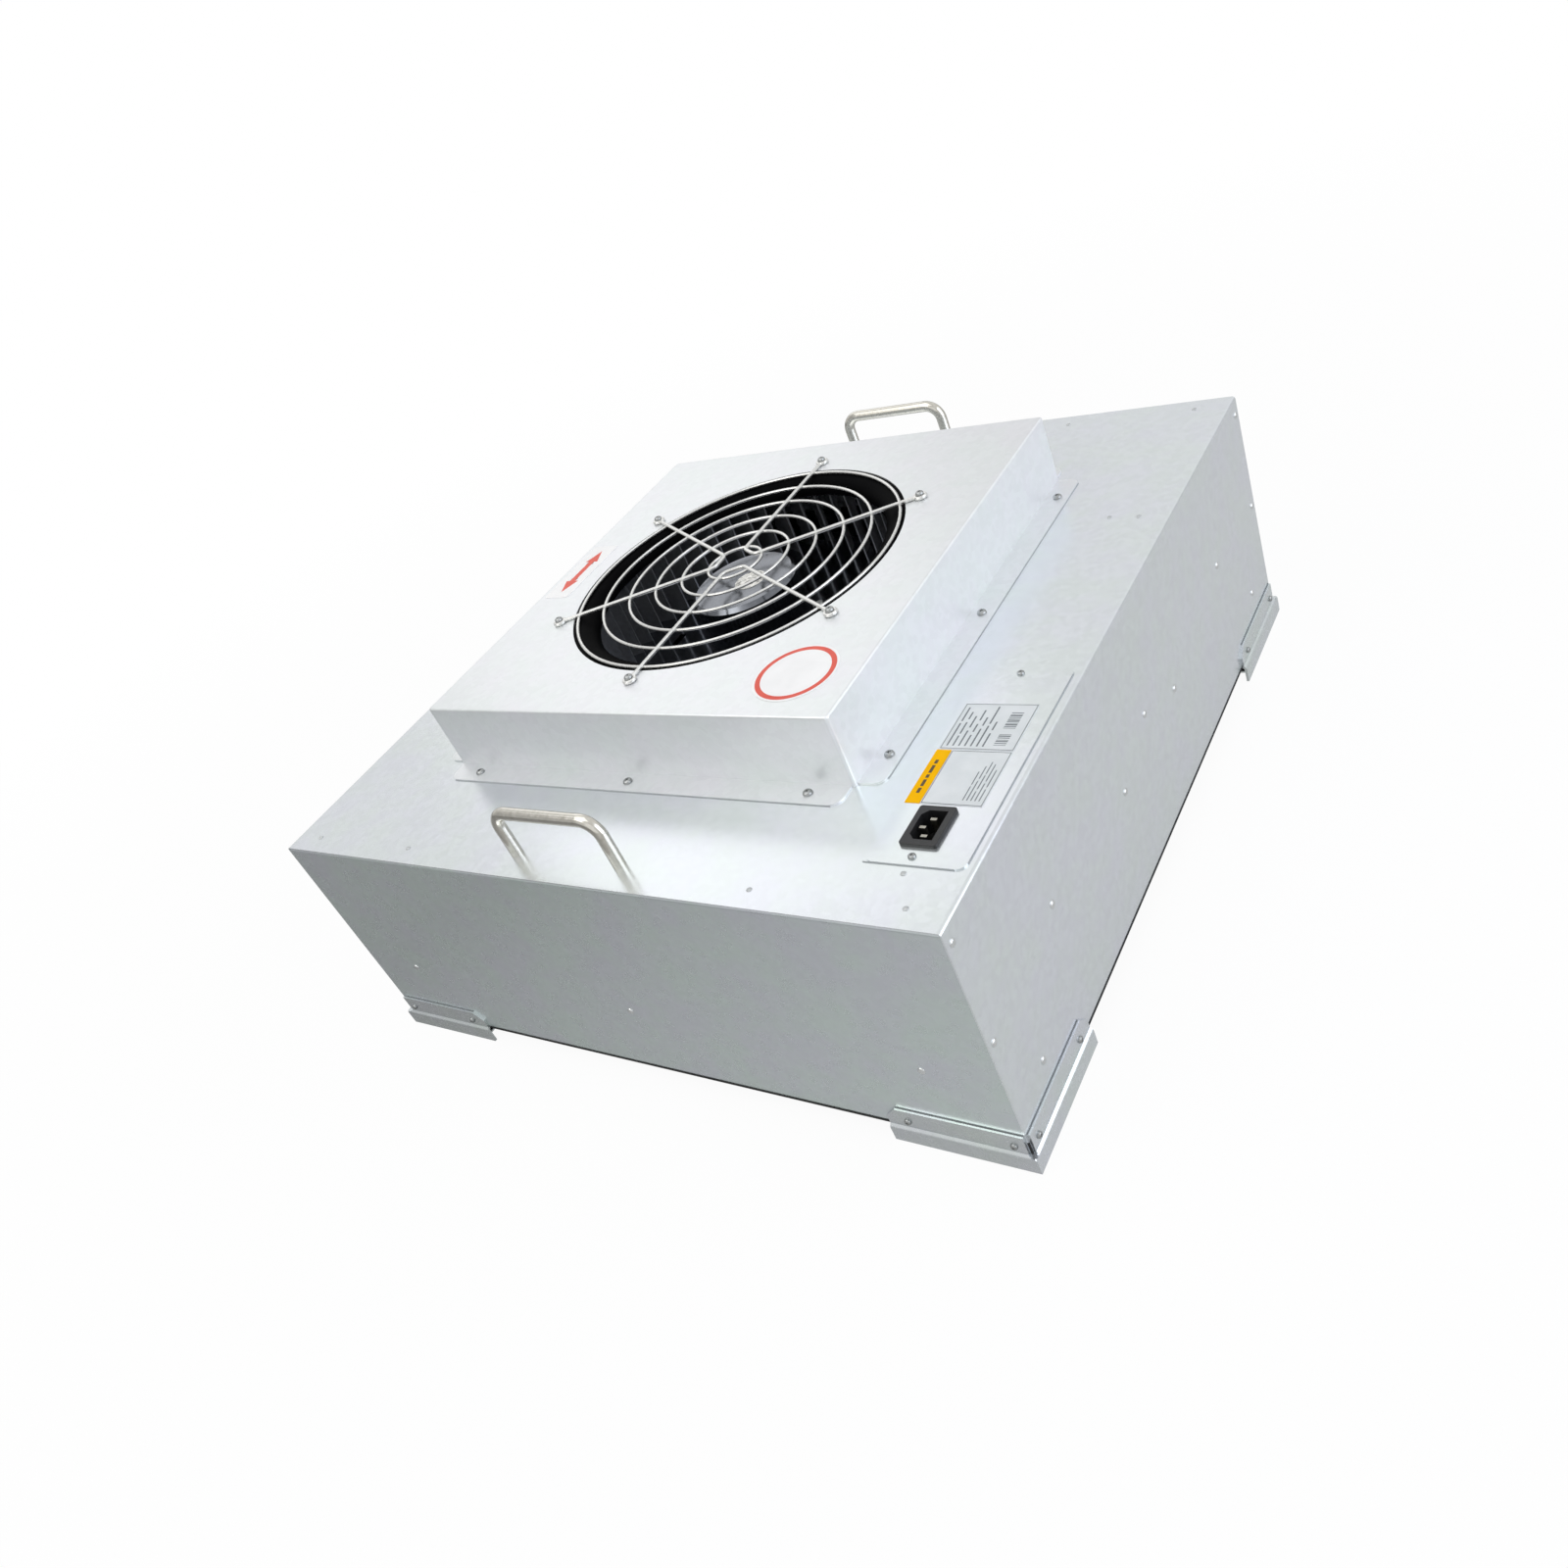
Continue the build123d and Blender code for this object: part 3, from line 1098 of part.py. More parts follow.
HANDLE_SCREW = pan_screw(M4_HEAD_R, M4_HEAD_H, M4_SHANK, 2 * SHEET + SCREW_TAIL)
with BuildPart() as handle_screws:
    for x, y in handle_spots:
        with Locations(Plane((x, y, CASE_TOP - 2 * SHEET), z_dir=(0, 0, -1))):
            add(HANDLE_SCREW)
handle_screws.part.label = "handle_screws"
export_step(handle_screws.part, "parts/handle_screws.step")

# ================================================================ stickers
ring_sticker_spot = (COLLAR_X - RING_STICKER_INSET[0], -COLLAR_Y + RING_STICKER_INSET[1])
arrow_sticker_spot = (-COLLAR_X + ARROW_STICKER_INSET, ARROW_STICKER_BACK)
with BuildPart() as ring_sticker:
    with BuildSketch(Plane.XY.offset(COLLAR_TOP)):
        with Locations(ring_sticker_spot):
            Circle(RING_STICKER_R)
            Circle(RING_MARK[0], mode=Mode.SUBTRACT)
            Circle(RING_MARK[1])
    extrude(amount=STICKER)
ring_sticker.part.label = "ring_sticker"
export_step(ring_sticker.part, "parts/ring_sticker.step")

with BuildPart() as ring_mark:
    with BuildSketch(Plane.XY.offset(COLLAR_TOP)):
        with Locations(ring_sticker_spot):
            Circle(RING_MARK[0])
            Circle(RING_MARK[1], mode=Mode.SUBTRACT)
    extrude(amount=STICKER)
ring_mark.part.label = "ring_mark"
export_step(ring_mark.part, "parts/ring_mark.step")


def arrow_outline():
    """Double-headed arrow along Y, centred on the sticker."""
    neck = ARROW_LENGTH / 2 - ARROW_HEAD[1]
    head_side = ((ARROW_HEAD[0] / 2) ** 2 + ARROW_HEAD[1] ** 2) ** 0.5
    with BuildSketch() as arrow:
        with Locations(arrow_sticker_spot):
            Rectangle(ARROW_SHAFT, 2 * neck)
            for direction in (-1, 1):
                with Locations((0, direction * neck)):
                    Triangle(
                        a=ARROW_HEAD[0],
                        b=head_side,
                        c=head_side,
                        align=(Align.CENTER, Align.MIN),
                        rotation=0 if direction == 1 else 180,
                    )
    return arrow.sketch


with BuildPart() as arrow_sticker:
    with BuildSketch(Plane.XY.offset(COLLAR_TOP)):
        with Locations(arrow_sticker_spot):
            RectangleRounded(*ARROW_STICKER, ARROW_STICKER_R)
        add(arrow_outline(), mode=Mode.SUBTRACT)
    extrude(amount=STICKER)
arrow_sticker.part.label = "arrow_sticker"
export_step(arrow_sticker.part, "parts/arrow_sticker.step")

with BuildPart() as arrow_mark:
    with BuildSketch(Plane.XY.offset(COLLAR_TOP)):
        add(arrow_outline())
    extrude(amount=STICKER)
arrow_mark.part.label = "arrow_mark"
export_step(arrow_mark.part, "parts/arrow_mark.step")

for name, field in (
    ("rating_label", RATING_LABEL),
    ("band_label", BAND_LABEL),
    ("field_label", FIELD_LABEL),
):
    right_inset, front_inset, width, length = field
    with BuildPart() as label:
        with BuildSketch(Plane.XY.offset(panel_top)):
            with Locations((panel_right - right_inset, panel_front + front_inset)):
                Rectangle(width, length, align=(Align.MAX, Align.MIN))
        extrude(amount=STICKER)
    label.part.label = name
    export_step(label.part, f"parts/{name}.step")
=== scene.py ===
import json
from math import cos, pi, radians, sin, tan

import bmesh
import bpy
from mathutils import Matrix, Vector


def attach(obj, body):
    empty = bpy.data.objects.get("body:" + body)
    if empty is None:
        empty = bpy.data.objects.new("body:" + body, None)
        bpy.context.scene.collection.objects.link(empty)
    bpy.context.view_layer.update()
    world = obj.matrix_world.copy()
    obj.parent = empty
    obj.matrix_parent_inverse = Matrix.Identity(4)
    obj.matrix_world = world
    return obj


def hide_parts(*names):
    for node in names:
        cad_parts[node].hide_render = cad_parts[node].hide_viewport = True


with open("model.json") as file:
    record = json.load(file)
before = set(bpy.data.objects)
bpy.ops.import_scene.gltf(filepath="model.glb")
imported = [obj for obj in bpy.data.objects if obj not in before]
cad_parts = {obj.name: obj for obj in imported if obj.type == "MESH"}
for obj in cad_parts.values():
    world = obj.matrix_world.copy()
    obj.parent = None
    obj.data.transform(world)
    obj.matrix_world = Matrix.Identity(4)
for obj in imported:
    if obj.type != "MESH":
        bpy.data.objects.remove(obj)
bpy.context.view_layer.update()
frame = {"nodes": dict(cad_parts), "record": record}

MM = 0.001

# ---------------------------------------------------------------- sizes of the unit, in millimetres
CASE_HALF = 287.5            # from the fan's axis to each wall
CASE_LOW = 13.0
CASE_TOP = 203.0
COLLAR_HALF = 181.0
COLLAR_TOP = 257.0
COLLAR_SHEET = 1.2
COLLAR_FLANGE = 18.5
COLLAR_FLANGE_R = 9.0        # the flange's rounded ends
PANEL_TOP = 204.0
PANEL_EDGES = (217.0, 281.5, -242.0, -62.0)  # left, right, near and far
PANEL_R = 6.0
STICKER = 0.3
INK = 0.04                   # printed film, raised just enough to show

# Finger guard: ring radii, then the wires and the hooks round the middle.
INLET_R = 134.0
GUARD_RINGS = [(INLET_R - 4.0) * (ring + 1) / 6 for ring in range(6)]
GUARD_WIRE_R = 1.5
GUARD_RING_WIRE_R = 1.2
GUARD_WELD = 1.3             # how far a ring sinks into the spokes
GUARD_EYE_R = 3.8
GUARD_EYE_AT = 146.0
GUARD_HOOK_R = 16.0
GUARD_HOOK_BEND = 6.4
WELD_R = 1.9
WELD_SPREAD = (1.2, 1.0, 0.8)  # longer along the spoke, flatter upwards

# Screw heads and rivets: radius and height.
M4_HEAD = (3.4, 2.4)
GUARD_HEAD = (3.1, 2.4)
SMALL_HEAD = (2.5, 1.8)
M4_SHANK_R = 1.95
WALL_RIVET = (2.8, 1.2)
TOP_RIVET = (1.9, 0.8)
RIVET_SUNK = 0.3
TURN_STEP = 0.7              # radians from one screw's recess to the next one's

BRACKET_SHEET = 2.0
BRACKET_TOP = 30.5
BRACKET_LEG = 97.5
BRACKET_CHAMFER = 8.0
BRACKET_SLIT = 1.5           # each leg stops this far short of the case's corner

ARROW_AT = (-162.0, 2.0)     # middle of the arrow's sticker
ARROW_LENGTH = 60.0
ARROW_SHAFT = 5.6
ARROW_HEAD = (13.0, 16.0)    # width and length


# ================================================================ materials
def linear(hex_colour):
    """sRGB hex to the linear colour that the nodes take."""
    channels = [int(hex_colour[i:i + 2], 16) / 255 for i in (1, 3, 5)]
    return [c / 12.92 if c <= 0.04045 else ((c + 0.055) / 1.055) ** 2.4 for c in channels] + [1.0]


def add_node(tree, kind, settings=None, **inputs):
    """A node with its settings, and its inputs set to values or linked to other nodes' outputs."""
    node = tree.nodes.new(kind)
    for name, value in (settings or {}).items():
        setattr(node, name, value)
    for name, value in inputs.items():
        key = int(name[1:]) if name[0] == "i" and name[1:].isdigit() else name.replace("_", " ")
        if isinstance(value, bpy.types.NodeSocket):
            tree.links.new(value, node.inputs[key])
        else:
            node.inputs[key].default_value = value
    return node


def new_material(name, **shader_inputs):
    """A Principled material; returns it with its tree, its shader and the object coordinates."""
    material = bpy.data.materials.new(name)
    material.use_nodes = True
    tree = material.node_tree
    shader = tree.nodes["Principled BSDF"]
    for key, value in shader_inputs.items():
        shader.inputs[key.replace("_", " ")].default_value = value
    place = add_node(tree, "ShaderNodeTexCoord").outputs["Object"]
    return material, tree, shader, place


def ramp_between(tree, factor, low, high, low_at=0.0, high_at=1.0):
    """A colour ramp from low to high between two factors."""
    node = add_node(tree, "ShaderNodeValToRGB", i0=factor)
    node.color_ramp.elements[0].position = low_at
    node.color_ramp.elements[0].color = low
    node.color_ramp.elements[1].position = high_at
    node.color_ramp.elements[1].color = high
    return node.outputs["Color"]


def bump(tree, shader, height, distance_mm, strength=1.0):
    """Bump on the shader from a height of 0 to 1, over a real depth."""
    node = add_node(tree, "ShaderNodeBump", Height=height, Distance=distance_mm * MM, Strength=strength)
    tree.links.new(node.outputs["Normal"], shader.inputs["Normal"])


def graded(tree, value, span, levels):
    """A value over a span, mapped to two levels."""
    node = add_node(
        tree,
        "ShaderNodeMapRange",
        Value=value,
        From_Min=span[0],
        From_Max=span[1],
        To_Min=levels[0],
        To_Max=levels[1],
    )
    return node.outputs["Result"]


CRYSTAL_CONTRAST = 0.022     # share by which single zinc crystals differ in brightness
CRYSTAL_SHEEN = (-0.01, 0.02)  # and in roughness
SPANGLE_MM = 4.5             # the real crystals are finer: drawn this coarse so that they show
CLOUD_MM = 38                # size of the clouds of tint
WAVE_MM = 90                 # length of the sheet's waves
WAVE_DEPTH = 0.13            # and their strength


def zinc_sheet(name, green_grey, violet_grey, metallic, roughness):
    """Hot-dip galvanised sheet: a soft mirror, with fine zinc crystals and large faint clouds of tint."""
    material, tree, shader, place = new_material(name, Metallic=metallic)
    crystals = add_node(tree, "ShaderNodeTexVoronoi", Vector=place, Scale=1 / (SPANGLE_MM * MM))
    crystal_grey = add_node(tree, "ShaderNodeSeparateColor", Color=crystals.outputs["Color"]).outputs["Red"]
    cloud = add_node(
        tree, "ShaderNodeTexNoise", Vector=place, Scale=1 / (CLOUD_MM * MM), Detail=4.0, Roughness=0.6
    )
    tint = ramp_between(tree, cloud.outputs["Fac"], linear(green_grey), linear(violet_grey), 0.36, 0.64)
    shade = graded(tree, crystal_grey, (0, 1), (1 - CRYSTAL_CONTRAST, 1 + CRYSTAL_CONTRAST))
    toned = add_node(tree, "ShaderNodeVectorMath", {"operation": "SCALE"}, i0=tint, Scale=shade)
    tree.links.new(toned.outputs[0], shader.inputs["Base Color"])
    sheen = graded(tree, crystal_grey, (0, 1), [roughness + change for change in CRYSTAL_SHEEN])
    tree.links.new(sheen, shader.inputs["Roughness"])
    # Rolled sheet is never quite flat: it has long shallow waves.
    waves = add_node(tree, "ShaderNodeTexNoise", Vector=place, Scale=1 / (WAVE_MM * MM), Detail=1.0)
    bump(tree, shader, waves.outputs["Fac"], WAVE_DEPTH, 0.5)
    return material


def painted_facing_light(material, towards, most):
    """Painted light: the base colour is made brighter on the faces that look one way, as if more light fell
    on them.
    """
    tree = material.node_tree
    shader = tree.nodes["Principled BSDF"]
    unlit_colour = shader.inputs["Base Color"].links[0].from_socket
    facing = add_node(tree, "ShaderNodeNewGeometry").outputs["Normal"]
    facing_dot = add_node(tree, "ShaderNodeVectorMath", {"operation": "DOT_PRODUCT"}, i0=facing)
    facing_dot.inputs[1].default_value = towards
    share = graded(tree, facing_dot.outputs["Value"], (0.2, 0.6), (1.0, most))
    lit_colour = add_node(tree, "ShaderNodeVectorMath", {"operation": "SCALE"}, i0=unlit_colour, Scale=share)
    tree.links.new(lit_colour.outputs[0], shader.inputs["Base Color"])


def polished(name, colour, roughness, metallic=1.0, wear_mm=3.0):
    """Plated or polished metal: bright, with a faint drawn mottle in its roughness."""
    material, tree, shader, place = new_material(name, Metallic=metallic, Roughness=roughness)
    mottle = add_node(tree, "ShaderNodeTexNoise", Vector=place, Scale=1 / (wear_mm * MM), Detail=3.0)
    tint = ramp_between(tree, mottle.outputs["Fac"], linear(colour[0]), linear(colour[1]), 0.3, 0.7)
    tree.links.new(tint, shader.inputs["Base Color"])
    rough = (max(roughness - 0.04, 0.02), roughness + 0.08)
    tree.links.new(graded(tree, mottle.outputs["Fac"], (0, 1), rough), shader.inputs["Roughness"])
    return material


def moulded(name, colour, roughness, grain_mm=0.8, depth_mm=0.02, coat=0.0, specular=0.5):
    """Moulded, coated or printed surface: one colour with a faint mottle and a fine grain."""
    material, tree, shader, place = new_material(name, Roughness=roughness)
    shader.inputs["Coat Weight"].default_value = coat
    shader.inputs["Specular IOR Level"].default_value = specular
    mottle = add_node(tree, "ShaderNodeTexNoise", Vector=place, Scale=60.0, Detail=3.0)
    tint = ramp_between(tree, mottle.outputs["Fac"], linear(colour[0]), linear(colour[1]), 0.35, 0.65)
    tree.links.new(tint, shader.inputs["Base Color"])
    grain = add_node(tree, "ShaderNodeTexNoise", Vector=place, Scale=1 / (grain_mm * MM), Detail=2.0)
    bump(tree, shader, grain.outputs["Fac"], depth_mm, 0.5)
    return material


# The case's top and side walls: a pale satin that takes soft, blurred reflections of what is near.
case_zinc = zinc_sheet("galvanised_case_sheet", "#E0E6E6", "#E1E4EA", 0.85, 0.23)
# The front and back panels: a sheet a shade darker, which is painted shade on the walls that face front and
# back, with greenish and violet clouds.
shaded_front_zinc = zinc_sheet("galvanised_front_sheet_painted_shade", "#CFDAD7", "#D1D5DB", 0.85, 0.28)
# The collar: the brightest and most matt sheet, almost white from above. Its walls that face right get
# painted light: a brighter base colour.
collar_zinc = zinc_sheet("galvanised_collar_sheet", "#E2E6E6", "#E4E5E8", 0.68, 0.4)
painted_facing_light(collar_zinc, (1.0, 0.0, 0.0), 1.18)
# The corner brackets: a duller grey, with bright folds and ledges. Their ledges and the faces turned up and
# right get painted light: a brighter base colour.
bracket_zinc = zinc_sheet("galvanised_bracket_sheet", "#C6CDCB", "#C9CCD1", 0.85, 0.26)
painted_facing_light(bracket_zinc, (0.6, 0.0, 1.0), 1.22)
# Sheet inside the case: the same metal, darker, as painted shade.
shaded_inner_zinc = zinc_sheet("galvanised_inner_sheet_painted_shade", "#A9B0AE", "#ACAEB2", 0.85, 0.3)
# Screws: small dull grey heads against the bright sheet.
zinc_plate = polished("zinc_plated_screw", ("#9B9E9E", "#B0B2B1"), 0.34)
# Wall rivets: small bright points.
rivet_zinc = polished("bright_rivet_dome", ("#D3D6D6", "#E3E5E5"), 0.24)
# Rivets on the top sheet: faint dull dots.
dull_rivet = polished("dull_rivet_dome", ("#B4B7B7", "#C4C7C7"), 0.5, 0.6)
# The guard's wire: pale bright lines over the dark inlet.
bright_wire = polished("bright_plated_wire", ("#DCDCD9", "#E9E9E6"), 0.26, 0.85)
# Its welds: slightly duller beads.
bright_weld = polished("bright_weld_bead", ("#C8C8C5", "#DAD9D6"), 0.28, 0.8, 0.8)
# The handles: a warm, sharper mirror than the zinc.
stainless = polished("polished_stainless_tube", ("#CBC8BE", "#DAD7CF"), 0.16)
# The shaft and the bearings: a clean ground grey.
bearing_steel = polished("ground_bearing_steel", ("#A9ABAD", "#BDBFC0"), 0.25)
# The stator's core: a dark satin.
lamination = polished("stacked_laminations", ("#5A5C60", "#6B6E72"), 0.4)
# The windings: the one reddish metal.
copper = polished("enamelled_copper", ("#8A4420", "#A9592B"), 0.3, 0.8, 1.0)
# The inlet's pins: three light glints in the black socket.
brass_pin = polished("nickel_plated_pin", ("#9D9A8F", "#B0ADA3"), 0.3)
# The stator's base: a matt grey casting.
die_cast = polished("die_cast_aluminium", ("#9B9DA0", "#AEB0B2"), 0.45, 0.9)
# The filter's frame: a soft light grey.
filter_metal = polished("extruded_filter_frame", ("#B4B6B8", "#C4C6C8"), 0.38)
# The bell mouth: the deepest black, with next to no reflection.
black_coat = moulded("black_coated_sheet", ("#050506", "#09090A"), 0.5, specular=0.01)
# The impeller's end ring: black with a sharp gloss.
gloss_black = moulded("gloss_black_impeller", ("#0C0D0E", "#131416"), 0.12, 1.2, 0.01, 0.5)
# Its back plate: lacquered metal that mirrors the light from above as a grey field.
dark_mirror = polished("lacquered_back_plate", ("#9C9FA6", "#A6A9B1"), 0.1)
# Its blades: black lacquer given a light grey colour, a painted highlight, so that they show as grey streaks
# between black gaps.
blade_lacquer_painted_highlight = polished("lacquered_blades_painted_highlight", ("#9C9EA2", "#A7A9AD"), 0.3, 0.8)
# The motor's can: a dark shine round the label.
motor_black = polished("lacquered_motor_can", ("#6F7278", "#7A7D83"), 0.14)
# The power inlet: a charcoal moulding that stays lighter than its socket.
black_nylon = moulded("moulded_black_nylon", ("#1B1B1C", "#252526"), 0.42, 0.5, 0.03)
# The gaskets: matt black lines. The same black also paints the shadow in the brackets' corner slits and
# along the foot of the case's walls.
black_rubber_and_shadow = moulded("black_rubber_and_painted_shadow", ("#141414", "#202020"), 0.85, 1.0, 0.15)
# The filter's pleats: matt off-white.
paper = moulded("glass_fibre_paper", ("#E6E6E2", "#F0F0EC"), 0.9, 0.6, 0.05)
# The beads across the pleats: cream threads.
hot_melt = moulded("hot_melt_bead", ("#D9D6C8", "#E4E1D4"), 0.4)
# The stickers' film: whiter than the sheet round it.
film = moulded("white_label_film", ("#F3F3F3", "#F8F8F8"), 0.35, 2.0, 0.005)
# The labels on the service panel: a satin silver that hardly differs from the sheet.
silver_film = moulded("satin_silver_film", ("#D6DBDD", "#DFE3E5"), 0.36, 2.0, 0.005)
# The ring and the arrow: a warm red.
red_ink = moulded("red_print", ("#D8432F", "#E3553F"), 0.42, 2.0, 0.005)
# The band: the one strong yellow, with no glare to wash it out.
amber_ink = moulded("amber_print", ("#F6B400", "#FABB02"), 0.55, 2.0, 0.005, specular=0.05)
# Small print on the silver labels: fine mid-grey lines.
grey_ink = moulded("grey_print", ("#6C7276", "#787E82"), 0.45, 2.0, 0.005)
# Print on the band: dark brown on yellow.
dark_ink = moulded("dark_print", ("#4A3A10", "#57461C"), 0.5, 2.0, 0.005)
# Painted shadow over the brackets: a thin grey line on the wall, along each bracket's top edge.
bracket_shadow_line_finish = moulded("painted_shadow_line_grey", ("#74787A", "#808486"), 0.7, 1.5, 0.02)
# Painted shadow along the collar's foot and the panel: a fainter grey line on the top sheet, at their edges.
pale_shadow_line_finish = moulded("painted_shadow_line_pale", ("#A4A8AA", "#AEB2B4"), 0.7, 1.5, 0.02)
# The run capacitor: a plain light moulding.
capacitor_case = moulded("moulded_capacitor_case", ("#BFC1C1", "#CCCECE"), 0.35)


def crumpled_foil(name):
    """Thin aluminium foil label, pressed on by hand: small sharp creases that sparkle."""
    material, tree, shader, place = new_material(name, Metallic=1.0, Roughness=0.22)
    tone = add_node(tree, "ShaderNodeTexNoise", Vector=place, Scale=1 / (3 * MM), Detail=2.0)
    tint = ramp_between(tree, tone.outputs["Fac"], linear("#C9C8C2"), linear("#E6E5E1"), 0.3, 0.7)
    tree.links.new(tint, shader.inputs["Base Color"])
    creases = add_node(
        tree, "ShaderNodeTexVoronoi", {"feature": "DISTANCE_TO_EDGE"}, Vector=place, Scale=1 / (4 * MM)
    )
    bump(tree, shader, creases.outputs["Distance"], 0.9, 0.8)
    return material


# The label on the motor: a bright crinkled patch in the middle of the dark inlet.
silver_foil = crumpled_foil("silver_foil_label")

SLOT_MATERIALS = {
    "galvanised_sheet": shaded_inner_zinc,
    "collar_sheet": collar_zinc,
    "bracket_sheet": bracket_zinc,
    "zinc_screw": zinc_plate,
    "gasket_rubber": black_rubber_and_shadow,
    "filter_aluminium": filter_metal,
    "filter_paper": paper,
    "hot_melt_bead": hot_melt,
    "cast_aluminium": die_cast,
    "bearing_steel": bearing_steel,
    "electrical_steel": lamination,
    "enamelled_copper": copper,
    "capacitor_case": capacitor_case,
    "black_sheet": black_coat,
    "guard_wire": bright_wire,
    "black_nylon": black_nylon,
    "plated_brass": brass_pin,
    "stainless_tube": stainless,
    "label_film": film,
    "red_ink": red_ink,
    "amber_ink": amber_ink,
    "motor_steel": motor_black,
    "impeller_black": gloss_black,
    "silver_label": silver_foil,
}
NODE_MATERIALS = {
    "case_wrap": case_zinc,
    "front_panel": shaded_front_zinc,
    "back_panel": shaded_front_zinc,
    "service_panel": case_zinc,
    "impeller_plate": dark_mirror,
    "impeller_blades": blade_lacquer_painted_highlight,
    "rating_label": silver_film,
    "field_label": silver_film,
}
slot_of = {row["node"]: row["material_slot"] for row in frame["record"]["subparts"]}
for node, piece in frame["nodes"].items():
    finish = NODE_MATERIALS.get(node, SLOT_MATERIALS[slot_of[node]])
    piece.data.materials.clear()
    piece.data.materials.append(finish)


# ================================================================ new pieces
def closed_mesh(shape, name):
    """The finished bmesh as a mesh, its doubles merged and its faces turned outwards."""
    mesh = bpy.data.meshes.new(name)
    bmesh.ops.remove_doubles(shape, verts=shape.verts, dist=1e-7)
    bmesh.ops.recalc_face_normals(shape, faces=shape.faces)
    shape.to_mesh(mesh)
    shape.free()
    return mesh


def piece_from(shape, name, material, body, sharp=35.0):
    """The finished bmesh as an object that rides on a body, smooth but for edges past an angle."""
    mesh = closed_mesh(shape, name)
    mesh.materials.append(material)
    for face in mesh.polygons:
        face.use_smooth = True
    mesh.set_sharp_from_angle(angle=radians(sharp))
    piece = bpy.data.objects.new(name, mesh)
    bpy.context.scene.collection.objects.link(piece)
    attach(piece, body)
    return piece


def polar(radius, degrees, level):
    """Point at a radius and a direction from the fan's axis, in metres from millimetres."""
    return Vector((radius * cos(radians(degrees)), radius * sin(radians(degrees)), level)) * MM


def stand_at(place, direction, turn=0.0):
    """Matrix that puts a shape made upright at the origin on a spot in millimetres."""
    upright = Vector(direction).to_track_quat("Z", "Y").to_matrix().to_4x4()
    return Matrix.Translation(Vector(place) * MM) @ upright @ Matrix.Rotation(turn, 4, "Z")


# ---------------------------------------------------------------- finger guard
def wire_ring(shape, radius, centre, wire, sides=10, steps=96):
    """A closed ring of round wire about the vertical through its centre."""
    section = bmesh.ops.create_circle(shape, segments=sides, radius=wire)["verts"]
    stand = Matrix.Translation(centre + Vector((radius, 0, 0))) @ Matrix.Rotation(pi / 2, 4, "X")
    bmesh.ops.transform(shape, matrix=stand, verts=section)
    edges = list({e for v in section for e in v.link_edges})
    bmesh.ops.spin(
        shape, geom=section + edges, cent=centre, axis=(0, 0, 1), angle=2 * pi, steps=steps, use_merge=True
    )


def bent_wire(shape, start, heading, runs, wire, sides=10):
    """A wire laid flat, as straight runs and bends: (length, turn in degrees, bend radius), in metres."""
    section = bmesh.ops.create_circle(shape, segments=sides, radius=wire)["verts"]
    stand = Matrix.Translation(start) @ heading.to_track_quat("Z", "Y").to_matrix().to_4x4()
    bmesh.ops.transform(shape, matrix=stand, verts=section)
    edges = list({e for v in section for e in v.link_edges})
    bmesh.ops.contextual_create(shape, geom=edges)
    at, way = start.copy(), heading.copy()
    for length, turn, bend in runs:
        made = bmesh.ops.extrude_edge_only(shape, edges=edges)["geom"]
        section = {g for g in made if isinstance(g, bmesh.types.BMVert)}
        edges = [g for g in made if isinstance(g, bmesh.types.BMEdge) and set(g.verts) <= section]
        bmesh.ops.translate(shape, vec=way * length, verts=list(section))
        at += way * length
        if turn:
            side = 1 if turn > 0 else -1
            hub = at + Vector((-way.y, way.x, 0)) * side * bend
            steps = int(abs(turn) / 6)
            geom = list({v for e in edges for v in e.verts}) + edges
            last = bmesh.ops.spin(
                shape, geom=geom, cent=hub, axis=(0, 0, side), angle=radians(abs(turn)), steps=steps
            )["geom_last"]
            edges = [g for g in last if isinstance(g, bmesh.types.BMEdge)]
            spin = Matrix.Rotation(radians(turn), 3, "Z")
            at = hub + spin @ (at - hub)
            way = spin @ way
    bmesh.ops.contextual_create(shape, geom=edges)


spoke_level = COLLAR_TOP + GUARD_WIRE_R
ring_level = spoke_level - GUARD_WIRE_R - GUARD_RING_WIRE_R + GUARD_WELD
eye_directions = range(30, 390, 60)


def make_finger_guard():
    """Six rings welded under three bent spoke pairs, each end coiled into a screwed eye."""
    shape = bmesh.new()
    wire = GUARD_WIRE_R * MM
    for radius in GUARD_RINGS:
        wire_ring(shape, radius * MM, Vector((0, 0, ring_level * MM)), GUARD_RING_WIRE_R * MM)
    # At the hook the wire turns 60 degrees twice, round the chord between its two spokes.
    cut = GUARD_HOOK_BEND * tan(radians(30))
    leg = (GUARD_EYE_AT - GUARD_EYE_R - GUARD_HOOK_R - cut) * MM
    hook = (GUARD_HOOK_R - 2 * cut) * MM
    for middle in (60, 180, 300):
        first = middle - 30
        start = polar(GUARD_EYE_AT - GUARD_EYE_R, first, spoke_level)
        inwards = -polar(1, first, 0).normalized()
        runs = ((leg, -60, GUARD_HOOK_BEND * MM), (hook, -60, GUARD_HOOK_BEND * MM), (leg, 0, 0))
        bent_wire(shape, start, inwards, runs, wire)
    for direction in eye_directions:
        wire_ring(shape, GUARD_EYE_R * MM, polar(GUARD_EYE_AT, direction, spoke_level), wire, steps=24)
    return shape


def make_welds():
    """Small resistance-weld beads where each ring crosses each spoke."""
    shape = bmesh.new()
    for direction in eye_directions:
        for radius in GUARD_RINGS:
            made = bmesh.ops.create_icosphere(shape, subdivisions=1, radius=WELD_R * MM)["verts"]
            place = Matrix.Translation(polar(radius, direction, (spoke_level + ring_level) / 2))
            spread = Matrix.Rotation(radians(direction), 4, "Z") @ Matrix.Diagonal((*WELD_SPREAD, 1))
            bmesh.ops.transform(shape, matrix=place @ spread, verts=made)
    return shape


wire_guard = piece_from(make_finger_guard(), "wire_guard", bright_wire, "unit")
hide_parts("finger_guard")
piece_from(make_welds(), "guard_welds", bright_weld, "unit")


